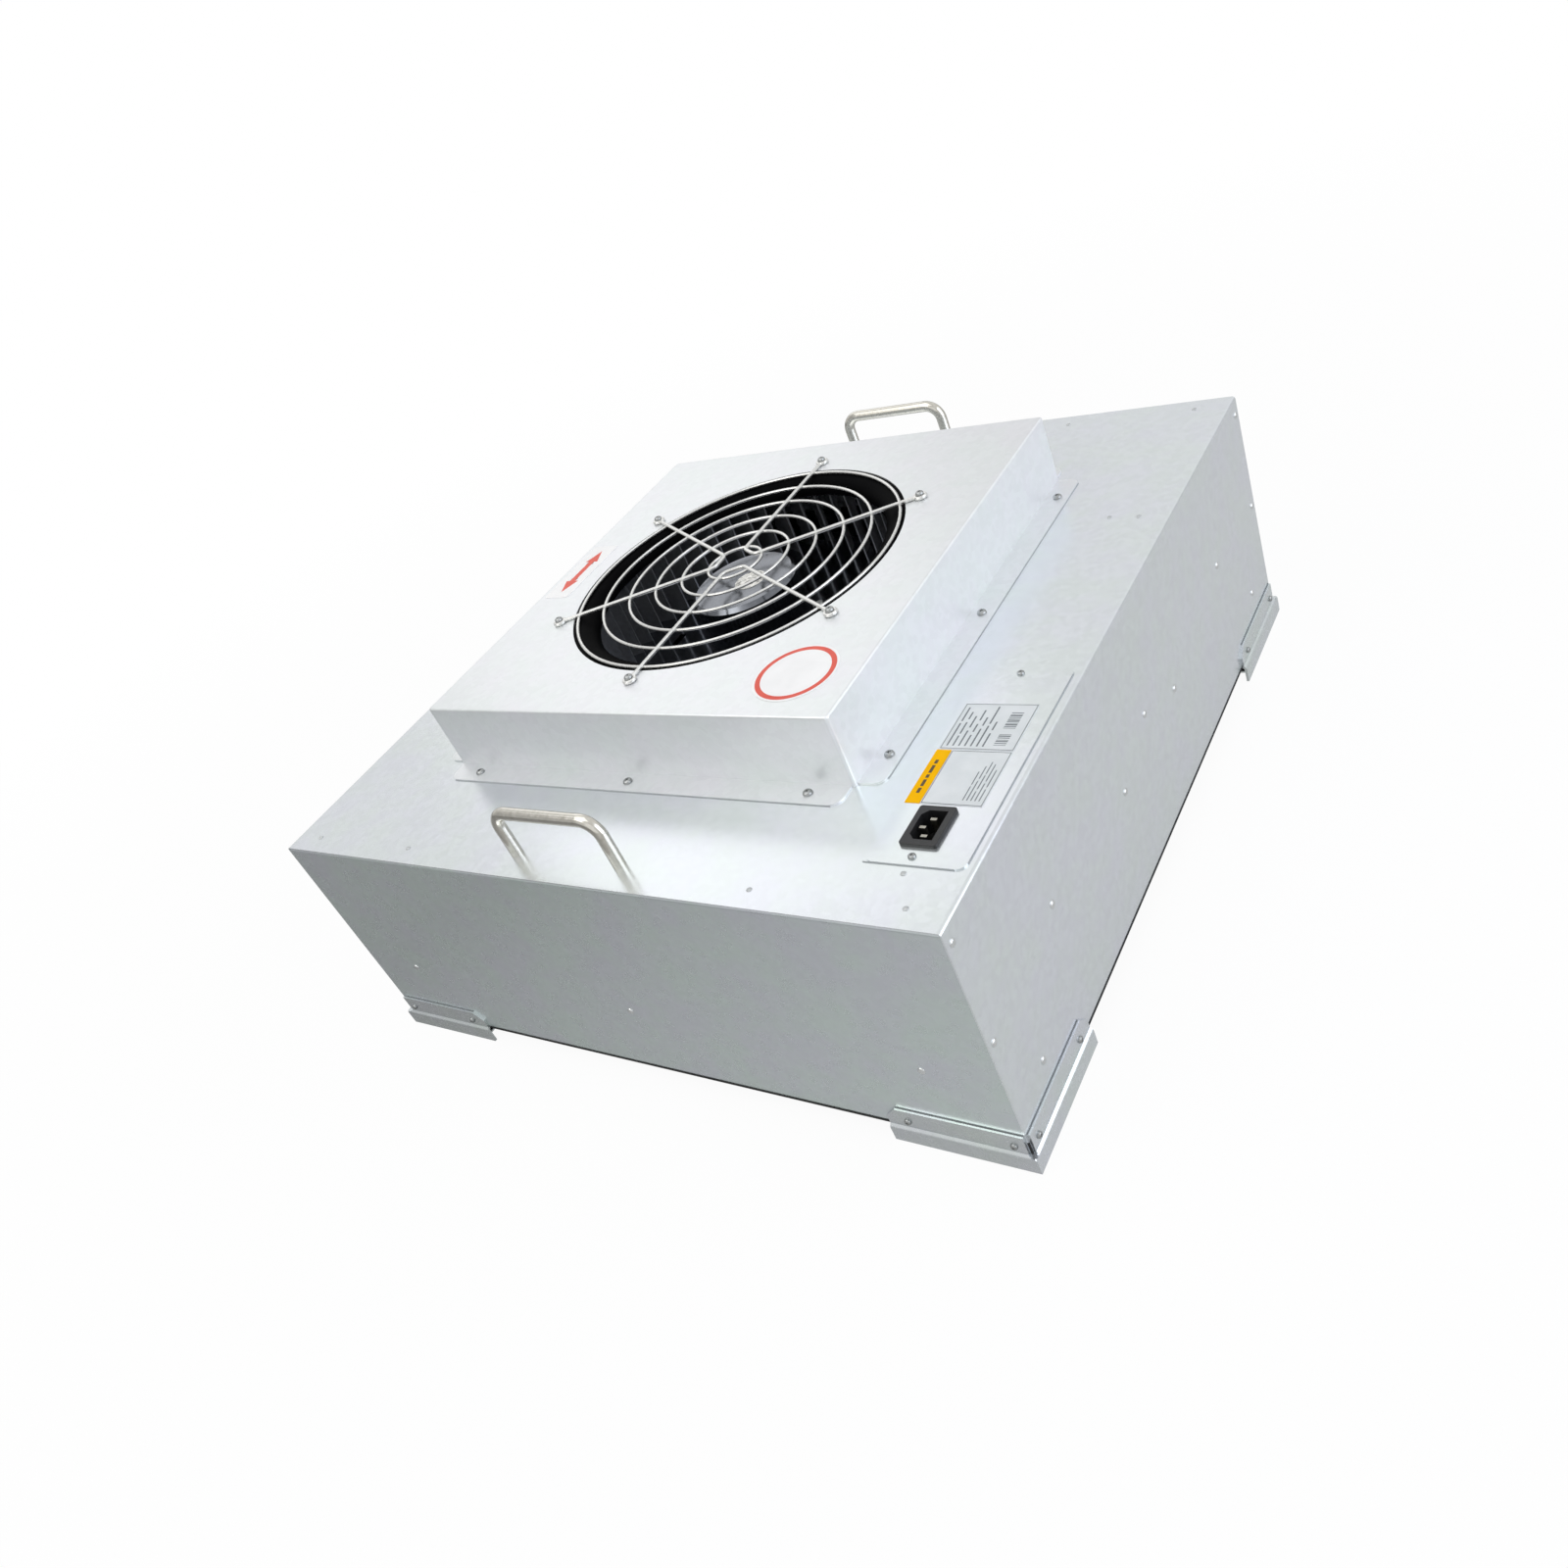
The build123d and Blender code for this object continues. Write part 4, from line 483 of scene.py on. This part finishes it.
# ---------------------------------------------------------------- screws and rivets
def spun(profile, steps=20):
    """A closed form spun about the vertical from (radius, height) pairs in millimetres."""
    shape = bmesh.new()
    line = [shape.verts.new((radius * MM, 0, height * MM)) for radius, height in profile]
    edges = [shape.edges.new(pair) for pair in zip(line, line[1:])]
    bmesh.ops.spin(
        shape, geom=line + edges, cent=(0, 0, 0), axis=(0, 0, 1), angle=2 * pi, steps=steps, use_merge=True
    )
    return shape


# A pan head's outline: (share of its radius, share of its height), from the top down to the seat.
PAN_OUTLINE = ((0, 1), (0.45, 0.97), (0.72, 0.88), (0.90, 0.66), (0.985, 0.35), (1, 0.1), (0.97, 0))


def recessed_head(radius, height):
    """One pan head with its cross recess, its seat at the origin."""
    head = spun(
        [(radius * across, height * up) for across, up in PAN_OUTLINE]
        + [(M4_SHANK_R, 0), (M4_SHANK_R, -1), (0, -1)]
    )
    cutter = bmesh.new()
    for quarter in (0, pi / 2):
        blade = bmesh.ops.create_cube(cutter, size=MM)["verts"]
        for v in blade:
            narrow = 1.0 if v.co.z > 0 else 0.55
            v.co = (v.co.x * radius * 1.1 * narrow, v.co.y * radius * 0.26 * narrow, v.co.z * height)
        stand = Matrix.Translation((0, 0, height * 0.95 * MM)) @ Matrix.Rotation(quarter, 4, "Z")
        bmesh.ops.transform(cutter, matrix=stand, verts=blade)
    solid = bpy.data.objects.new("head", closed_mesh(head, "head"))
    tool = bpy.data.objects.new("recess", closed_mesh(cutter, "recess"))
    for part in (solid, tool):
        bpy.context.scene.collection.objects.link(part)
    cut = solid.modifiers.new("recess", "BOOLEAN")
    cut.object = tool
    cut.use_self = True
    bpy.context.view_layer.update()
    mesh = bpy.data.meshes.new_from_object(solid.evaluated_get(bpy.context.evaluated_depsgraph_get()))
    for part in (solid, tool):
        bpy.data.objects.remove(part)
    return mesh


def set_out(pattern, spots):
    """Copies of a mesh at (place, direction) spots, each turned a little further than the last."""
    shape = bmesh.new()
    for count, (place, direction) in enumerate(spots):
        made = len(shape.verts)
        shape.from_mesh(pattern)
        shape.verts.ensure_lookup_table()
        stand = stand_at(place, direction, TURN_STEP * count)
        bmesh.ops.transform(shape, matrix=stand, verts=shape.verts[made:])
    return shape


# Spots in millimetres, each with the direction that the head looks in.
UP = (0, 0, 1)
BRACKET_SCREWS_IN = (9.5, 82.5)  # from the case's corner along its wall
BRACKET_SCREW_UP = 7.5
COLLAR_SCREWS = (30 - COLLAR_HALF, 0, COLLAR_HALF - 30)
COLLAR_SCREW_OUT = 9.5
PANEL_SCREWS = ((246.6, -235.7), (246.6, -68.3))
TOP_RIVETS_IN = ((27.5, 132.5), 14.5)  # from the side walls, and from the front and back
LONE_RIVETS = ((242.5, 117.7), (264.8, 115.9), (246.6, -248))
SIDE_RIVETS = ((281, 190), (281, 109), (0, 117.5), (181.6, 117.5), (56, 96), (245, 49))  # along and up
FRONT_RIVETS = ((-233, 76.5), (0, 76.5), (233, 76.5))

bracket_spots = []
for inset in BRACKET_SCREWS_IN:
    for side in (-1, 1):
        for end in (-1, 1):
            along, out = side * (CASE_HALF - inset), end * (CASE_HALF + BRACKET_SHEET)
            bracket_spots.append(((out, along, CASE_LOW + BRACKET_SCREW_UP), (end, 0, 0)))
            bracket_spots.append(((along, out, CASE_LOW + BRACKET_SCREW_UP), (0, end, 0)))
collar_spots = []
for along in COLLAR_SCREWS:
    for side in (-1, 1):
        out, seat = side * (COLLAR_HALF + COLLAR_SCREW_OUT), CASE_TOP + COLLAR_SHEET
        collar_spots += [((along, out, seat), UP), ((out, along, seat), UP)]
guard_seat = COLLAR_TOP + 2 * GUARD_WIRE_R
guard_spots = [(polar(GUARD_EYE_AT, d, guard_seat) / MM, UP) for d in eye_directions]
panel_spots = [((x, y, PANEL_TOP), UP) for x, y in PANEL_SCREWS]
m4_head = recessed_head(*M4_HEAD)
small_head = recessed_head(*SMALL_HEAD)
for name, node, pattern, spots in (
    ("bracket_screw_heads", "bracket_screws", small_head, bracket_spots),
    ("collar_screw_heads", "collar_screws", m4_head, collar_spots),
    ("guard_screw_heads", "guard_screws", recessed_head(*GUARD_HEAD), guard_spots),
    ("panel_screw_heads", "panel_screws", small_head, panel_spots),
):
    heads = piece_from(set_out(pattern, spots), name, zinc_plate, "unit")
    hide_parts(node)

top_rivets = [
    ((x * (CASE_HALF - inset), y * (CASE_HALF - TOP_RIVETS_IN[1]), CASE_TOP), UP)
    for inset in TOP_RIVETS_IN[0]
    for x in (-1, 1)
    for y in (-1, 1)
]
top_rivets += [((x, y, CASE_TOP), UP) for x, y in LONE_RIVETS]
wall_rivets = []
for side in (-1, 1):
    for y, z in SIDE_RIVETS:
        for sign in (-1, 1) if y else (1,):
            wall_rivets.append(((side * CASE_HALF, sign * y, z), (side, 0, 0)))
    wall_rivets += [((x, side * CASE_HALF, z), (0, side, 0)) for x, z in FRONT_RIVETS]


def rivet_dome(radius, height):
    """A low dome standing on its seat, slightly sunk."""
    curve = [(radius * sin(a), height * cos(a)) for a in (0, 0.35, 0.7, 1.05, 1.35, pi / 2)]
    return closed_mesh(spun(curve + [(0, -RIVET_SUNK)], steps=16), "rivet")


wall_dome, top_dome = rivet_dome(*WALL_RIVET), rivet_dome(*TOP_RIVET)
domes = piece_from(set_out(wall_dome, wall_rivets), "rivet_domes", rivet_zinc, "unit")
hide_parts("case_rivets")
piece_from(set_out(top_dome, top_rivets), "top_rivet_domes", dull_rivet, "unit")


# ---------------------------------------------------------------- print on the labels
def box(shape, low, high):
    """A box between two corners in millimetres."""
    made = bmesh.ops.create_cube(shape, size=1.0)["verts"]
    low, high = Vector(low), Vector(high)
    size = Matrix.Diagonal((*((high - low) * MM), 1))
    bmesh.ops.transform(shape, matrix=Matrix.Translation((low + high) / 2 * MM) @ size, verts=made)


def printed(shape, left, right, near, far):
    """A thin printed bar on a label, from its edges."""
    box(shape, (left, near, LABEL_TOP), (right, far, LABEL_TOP + INK))


def frame_line(shape, left, right, near, far, width=0.5):
    """A thin printed frame."""
    printed(shape, left, left + width, near, far)
    printed(shape, right - width, right, near, far)
    printed(shape, left + width, right - width, near, near + width)
    printed(shape, left + width, right - width, far - width, far)


def print_rows(shape, rows, width):
    """Rows of plain bars that stand for small print: each has its place across and its bars' ends."""
    for x, bars in rows:
        for near, far in bars:
            printed(shape, x, x + width, near, far)


def cross_bars(shape, left, right, near, far, step):
    """A block of bars of three widths, at two distances."""
    y, count = near, 0
    while y < far:
        printed(shape, left, right, y, y + BAR_WIDTHS[count * 7 % 3])
        y += step + BAR_EXTRA * (count % 2)
        count += 1


# Places on the labels in millimetres: left, right, near and far edges.
LABEL_TOP = PANEL_TOP + STICKER
RATING_FRAME = (222.4, 271.1, -143.1, -99.9)
FIELD_FRAME = (231.9, 271.1, -192.1, -144.9)
BAR_BLOCKS = ((256.5, 264.5, -139, -129, 1.55), (256.5, 264.5, -123, -108, 1.35))  # then the step
BAR_WIDTHS = (0.45, 0.75, 1.05)
BAR_EXTRA = 0.2              # every other step is this much longer
ROW_WIDTH, SMALL_ROW_WIDTH = 1.1, 0.7
ROWS = (
    (225.5, ((-140.5, -119), (-117, -103.5))),
    (229.5, ((-140.5, -131), (-129, -118), (-115, -108))),
    (233.5, ((-140.5, -126), (-123, -112))),
    (237.5, ((-140.5, -130), (-127, -119.5), (-116, -106))),
    (241.5, ((-140.5, -124), (-121, -113))),
    (245.5, ((-140.5, -121), (-119, -102.5))),
    (249.5, ((-140.5, -128), (-125, -117))),
)
SMALL_ROWS = (
    (257.0, ((-188, -176), (-174.5, -163))),
    (259.6, ((-188, -171), (-169, -158))),
    (262.2, ((-188, -180), (-178, -166), (-164.5, -154))),
    (264.8, ((-188, -173), (-171, -156))),
    (267.4, ((-188, -178), (-176, -161))),
)
BAND_ROWS = ((224.7, ((-184, -179.5), (-178, -172), (-170.5, -167.5), (-166, -159), (-157.5, -154))),)
BAND_ROW_WIDTH = 2.2

print_shape = bmesh.new()
frame_line(print_shape, *RATING_FRAME)
frame_line(print_shape, *FIELD_FRAME)
print_rows(print_shape, ROWS, ROW_WIDTH)
for block in BAR_BLOCKS:
    cross_bars(print_shape, *block)
print_rows(print_shape, SMALL_ROWS, SMALL_ROW_WIDTH)
piece_from(print_shape, "label_print", grey_ink, "unit")
band_shape = bmesh.new()
print_rows(band_shape, BAND_ROWS, BAND_ROW_WIDTH)
piece_from(band_shape, "band_print", dark_ink, "unit")


# ---------------------------------------------------------------- thin lines of mastic and rubber
def four_corners(shape, low, high):
    """The same box in each quarter of the plan."""
    for x in (-1, 1):
        for y in (-1, 1):
            ends_x, ends_y = sorted((x * low[0], x * high[0])), sorted((y * low[1], y * high[1]))
            box(shape, (ends_x[0], ends_y[0], low[2]), (ends_x[1], ends_y[1], high[2]))


def four_sides(shape, along, inner, outer, low, high):
    """A straight strip along the middle of each side."""
    for side in (-1, 1):
        ends = sorted((side * inner, side * outer))
        box(shape, (-along, ends[0], low), (along, ends[1], high))
        box(shape, (ends[0], -along, low), (ends[1], along, high))


# How far each line stands out, and its height.
BRACKET_SHADOW_LINE = (0.45, 0.5)
COLLAR_SHADOW_LINE = (0.3, 0.5)
PANEL_SHADOW_LINE = (0.3, 0.6)
LOWER_SHADOW_STRIP = (0.35, 1.4)
SLIT_SHADOW = (0.9, 0.3)            # in from the case's corner, and out from it
SLIT_SHADOW_LEVELS = (1, 11)        # above the case's lower edge

# Painted shadow along the brackets' top edges: the dark line of the gap over each bracket.
leg_far = CASE_HALF - BRACKET_LEG + BRACKET_CHAMFER
leg_near = CASE_HALF - BRACKET_SLIT
shadow_line_out, shadow_line_top = CASE_HALF + BRACKET_SHADOW_LINE[0], BRACKET_TOP + BRACKET_SHADOW_LINE[1]
bracket_shadow_shape = bmesh.new()
four_corners(bracket_shadow_shape, (CASE_HALF, leg_far, BRACKET_TOP), (shadow_line_out, leg_near, shadow_line_top))
four_corners(bracket_shadow_shape, (leg_far, CASE_HALF, BRACKET_TOP), (leg_near, shadow_line_out, shadow_line_top))
piece_from(bracket_shadow_shape, "bracket_top_shadow_lines", bracket_shadow_line_finish, "unit")

# Paler painted shadow lines along the collar's foot flanges and along two edges of the service panel.
edge, collar_shadow_top = COLLAR_HALF + COLLAR_FLANGE, CASE_TOP + COLLAR_SHADOW_LINE[1]
shadow_rim_shape = bmesh.new()
four_sides(shadow_rim_shape, COLLAR_HALF - COLLAR_FLANGE_R, edge, edge + COLLAR_SHADOW_LINE[0], CASE_TOP, collar_shadow_top)
left, right, near, far = PANEL_EDGES
out, panel_shadow_top = PANEL_SHADOW_LINE[0], CASE_TOP + PANEL_SHADOW_LINE[1]
box(shadow_rim_shape, (left, near - out, CASE_TOP), (right - PANEL_R, near, panel_shadow_top))
box(shadow_rim_shape, (right, near + PANEL_R, CASE_TOP), (right + out, far - PANEL_R, panel_shadow_top))
piece_from(shadow_rim_shape, "collar_and_panel_shadow_lines", pale_shadow_line_finish, "unit")

# Painted shadow: a black box in the slit between each bracket's two legs, and a black strip along the foot
# of the case's walls.
slit_in, slit_out = CASE_HALF - SLIT_SHADOW[0], CASE_HALF + SLIT_SHADOW[1]
slit_low, slit_high = (CASE_LOW + level for level in SLIT_SHADOW_LEVELS)
slit_shadow_shape = bmesh.new()
four_corners(slit_shadow_shape, (slit_in, slit_in, slit_low), (slit_out, slit_out, slit_high))
piece_from(slit_shadow_shape, "corner_slit_shadows", black_rubber_and_shadow, "unit")
lower_shadow_shape = bmesh.new()
shadow_strip_out, shadow_strip_top = CASE_HALF + LOWER_SHADOW_STRIP[0], CASE_LOW + LOWER_SHADOW_STRIP[1]
four_sides(lower_shadow_shape, CASE_HALF - BRACKET_LEG, CASE_HALF, shadow_strip_out, CASE_LOW, shadow_strip_top)
piece_from(lower_shadow_shape, "lower_edge_shadow_strip", black_rubber_and_shadow, "unit")


# ---------------------------------------------------------------- the printed arrow
half_shaft, half_head, tip = ARROW_SHAFT / 2, ARROW_HEAD[0] / 2, ARROW_LENGTH / 2
neck = tip - ARROW_HEAD[1]
right_side = [
    (0, -tip),
    (half_head, -neck),
    (half_shaft, -neck),
    (half_shaft, neck),
    (half_head, neck),
    (0, tip),
]
loop = right_side + [(-x, y) for x, y in reversed(right_side[1:-1])]
arrow_shape = bmesh.new()
corners = [Vector((ARROW_AT[0] + x, ARROW_AT[1] + y, COLLAR_TOP + STICKER)) * MM for x, y in loop]
face = arrow_shape.faces.new([arrow_shape.verts.new(corner) for corner in corners])
lifted = bmesh.ops.extrude_face_region(arrow_shape, geom=[face])["geom"]
raised = [item for item in lifted if isinstance(item, bmesh.types.BMVert)]
bmesh.ops.translate(arrow_shape, vec=(0, 0, INK * MM), verts=raised)
arrow = piece_from(arrow_shape, "arrow_print", red_ink, "unit")
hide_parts("arrow_mark")


# ================================================================ stage, lights and camera
CAMERA_AT = (607.7 * MM, -664.7 * MM, 655.8 * MM)
CAMERA_AIM = (127.1 * MM, -181.9 * MM, CASE_TOP * MM)
CAMERA_ROLL = -25.44
CAMERA_LENS = 29.645
SENSOR = 36.0


def set_camera():
    """The camera stands off the front right corner, above the unit, and is rolled."""
    camera = bpy.data.objects.new("camera", bpy.data.cameras.new("camera"))
    camera.data.lens = CAMERA_LENS
    camera.data.sensor_width = SENSOR
    camera.data.clip_start = 0.01
    aim = (Vector(CAMERA_AIM) - Vector(CAMERA_AT)).to_track_quat("-Z", "Y").to_matrix().to_4x4()
    roll = Matrix.Rotation(radians(CAMERA_ROLL), 4, "Z")
    camera.matrix_world = Matrix.Translation(CAMERA_AT) @ aim @ roll
    bpy.context.scene.collection.objects.link(camera)
    bpy.context.scene.camera = camera


FLOOR_GLOW = (0.94, 1.0)       # share of plain white under the unit, and where the floor runs out
FLOOR_IN_METAL = (0.29, 0.61)  # how bright sheet metal sees the floor, left of the unit and right
FRONT_IN_METAL = (0.47, 0.74)  # the same for the room in front of the unit
BACK_IN_METAL = (0.84, 0.88)   # and for the room behind it
LOW_IN_METAL = 0.6             # and for what lies low behind it on the right
WORLD_LIGHT = 0.5              # the room's plain light on matt surfaces
LAMPS = (                      # name, place, size, watts and tint
    ("overhead", (-0.5, -0.4, 2.3), 2.0, 13.0, "#FFFFFF"),
    ("right", (2.2, 0.2, 0.9), 2.0, 26.0, "#ECF2FF"),
    ("front", (0.6, -2.1, 1.2), 2.0, 3.0, "#FFFFFF"),
    ("back_softbox", (-1.5, 1.4, 1.45), 1.2, 2.6, "#FFFFFF"),
    ("left_softbox", (-0.5, -0.9, 1.3), 0.8, 3.0, "#FFFCF7"),
)


def seen_white(tree, in_metal):
    """Brightness 1 for the camera and less for reflections, and which rays look at all."""
    path = add_node(tree, "ShaderNodeLightPath")
    camera_ray = path.outputs["Is Camera Ray"]
    level = add_node(tree, "ShaderNodeMapRange", Value=camera_ray, To_Min=in_metal)
    clear = add_node(
        tree,
        "ShaderNodeMath",
        {"operation": "MAXIMUM"},
        i0=path.outputs["Is Glossy Ray"],
        i1=path.outputs["Is Transmission Ray"],
    )
    seen = add_node(tree, "ShaderNodeMath", {"operation": "MAXIMUM"}, i0=camera_ray, i1=clear.outputs[0])
    return level.outputs["Result"], seen.outputs[0]


def pale_floor_finish():
    """Matt white paint, near white where it is seen, with a faint shadow close to the unit. In reflections
    it glows with a painted shade, darker left of the unit than right.
    """
    material = bpy.data.materials.new("pale_floor")
    material.use_nodes = True
    tree = material.node_tree
    tree.nodes.clear()
    place = add_node(tree, "ShaderNodeTexCoord").outputs["Object"]
    across = add_node(tree, "ShaderNodeSeparateXYZ", Vector=place).outputs["X"]
    distance = add_node(tree, "ShaderNodeVectorMath", {"operation": "LENGTH"}, i0=place).outputs["Value"]
    level, seen = seen_white(tree, graded(tree, across, (-0.36, 0.36), FLOOR_IN_METAL))
    matt = add_node(tree, "ShaderNodeBsdfDiffuse", Color=linear("#F4F4F4"))
    glow = add_node(tree, "ShaderNodeEmission", Strength=level)
    spread = graded(tree, distance, (0.6, 1.6), FLOOR_GLOW)
    share = add_node(tree, "ShaderNodeMath", {"operation": "MULTIPLY"}, i0=seen, i1=spread)
    both = add_node(tree, "ShaderNodeMixShader", i0=share.outputs[0], i1=matt.outputs[0], i2=glow.outputs[0])
    add_node(tree, "ShaderNodeOutputMaterial", Surface=both.outputs[0])
    return material


def lamp(name, place, size, power, tint):
    """A square soft lamp aimed at the middle of the unit."""
    data = bpy.data.lights.new(name, "AREA")
    data.shape = "SQUARE"
    data.size = size
    data.energy = power
    data.color = linear(tint)[:3]
    light = bpy.data.objects.new(name, data)
    aim = (Vector((0, 0, 0.2)) - Vector(place)).to_track_quat("-Z", "Y")
    light.matrix_world = Matrix.Translation(place) @ aim.to_matrix().to_4x4()
    bpy.context.scene.collection.objects.link(light)


def set_stage():
    """A pale floor, a dim white world and five soft lamps."""
    shape = bmesh.new()
    bmesh.ops.create_grid(shape, x_segments=1, y_segments=1, size=12.0)
    mesh = bpy.data.meshes.new("floor")
    shape.to_mesh(mesh)
    shape.free()
    floor = bpy.data.objects.new("floor", mesh)
    bpy.context.scene.collection.objects.link(floor)
    mesh.materials.append(pale_floor_finish())
    world = bpy.data.worlds.new("world")
    bpy.context.scene.world = world
    world.use_nodes = True
    tree = world.node_tree
    tree.nodes.clear()
    direction = add_node(tree, "ShaderNodeTexCoord").outputs["Generated"]
    split = add_node(tree, "ShaderNodeSeparateXYZ", Vector=direction)
    across, back = split.outputs["X"], split.outputs["Y"]
    front_level = graded(tree, across, (-0.78, -0.55), FRONT_IN_METAL)
    low_back = graded(tree, split.outputs["Z"], (0.15, 0.35), (LOW_IN_METAL, BACK_IN_METAL[1]))
    back_level = graded(tree, across, (-0.25, 0.4), (BACK_IN_METAL[0], low_back))
    level, seen = seen_white(tree, graded(tree, back, (-0.48, 0.3), (front_level, back_level)))
    strength = add_node(tree, "ShaderNodeMix", {"data_type": "FLOAT"}, Factor=seen, A=WORLD_LIGHT, B=level)
    sky = add_node(tree, "ShaderNodeBackground", Strength=strength.outputs["Result"])
    sky.inputs["Color"].default_value = linear("#FFFFFF")
    add_node(tree, "ShaderNodeOutputWorld", Surface=sky.outputs[0])
    for row in LAMPS:
        lamp(*row)


set_camera()
set_stage()
bpy.context.scene.view_settings.view_transform = "Standard"
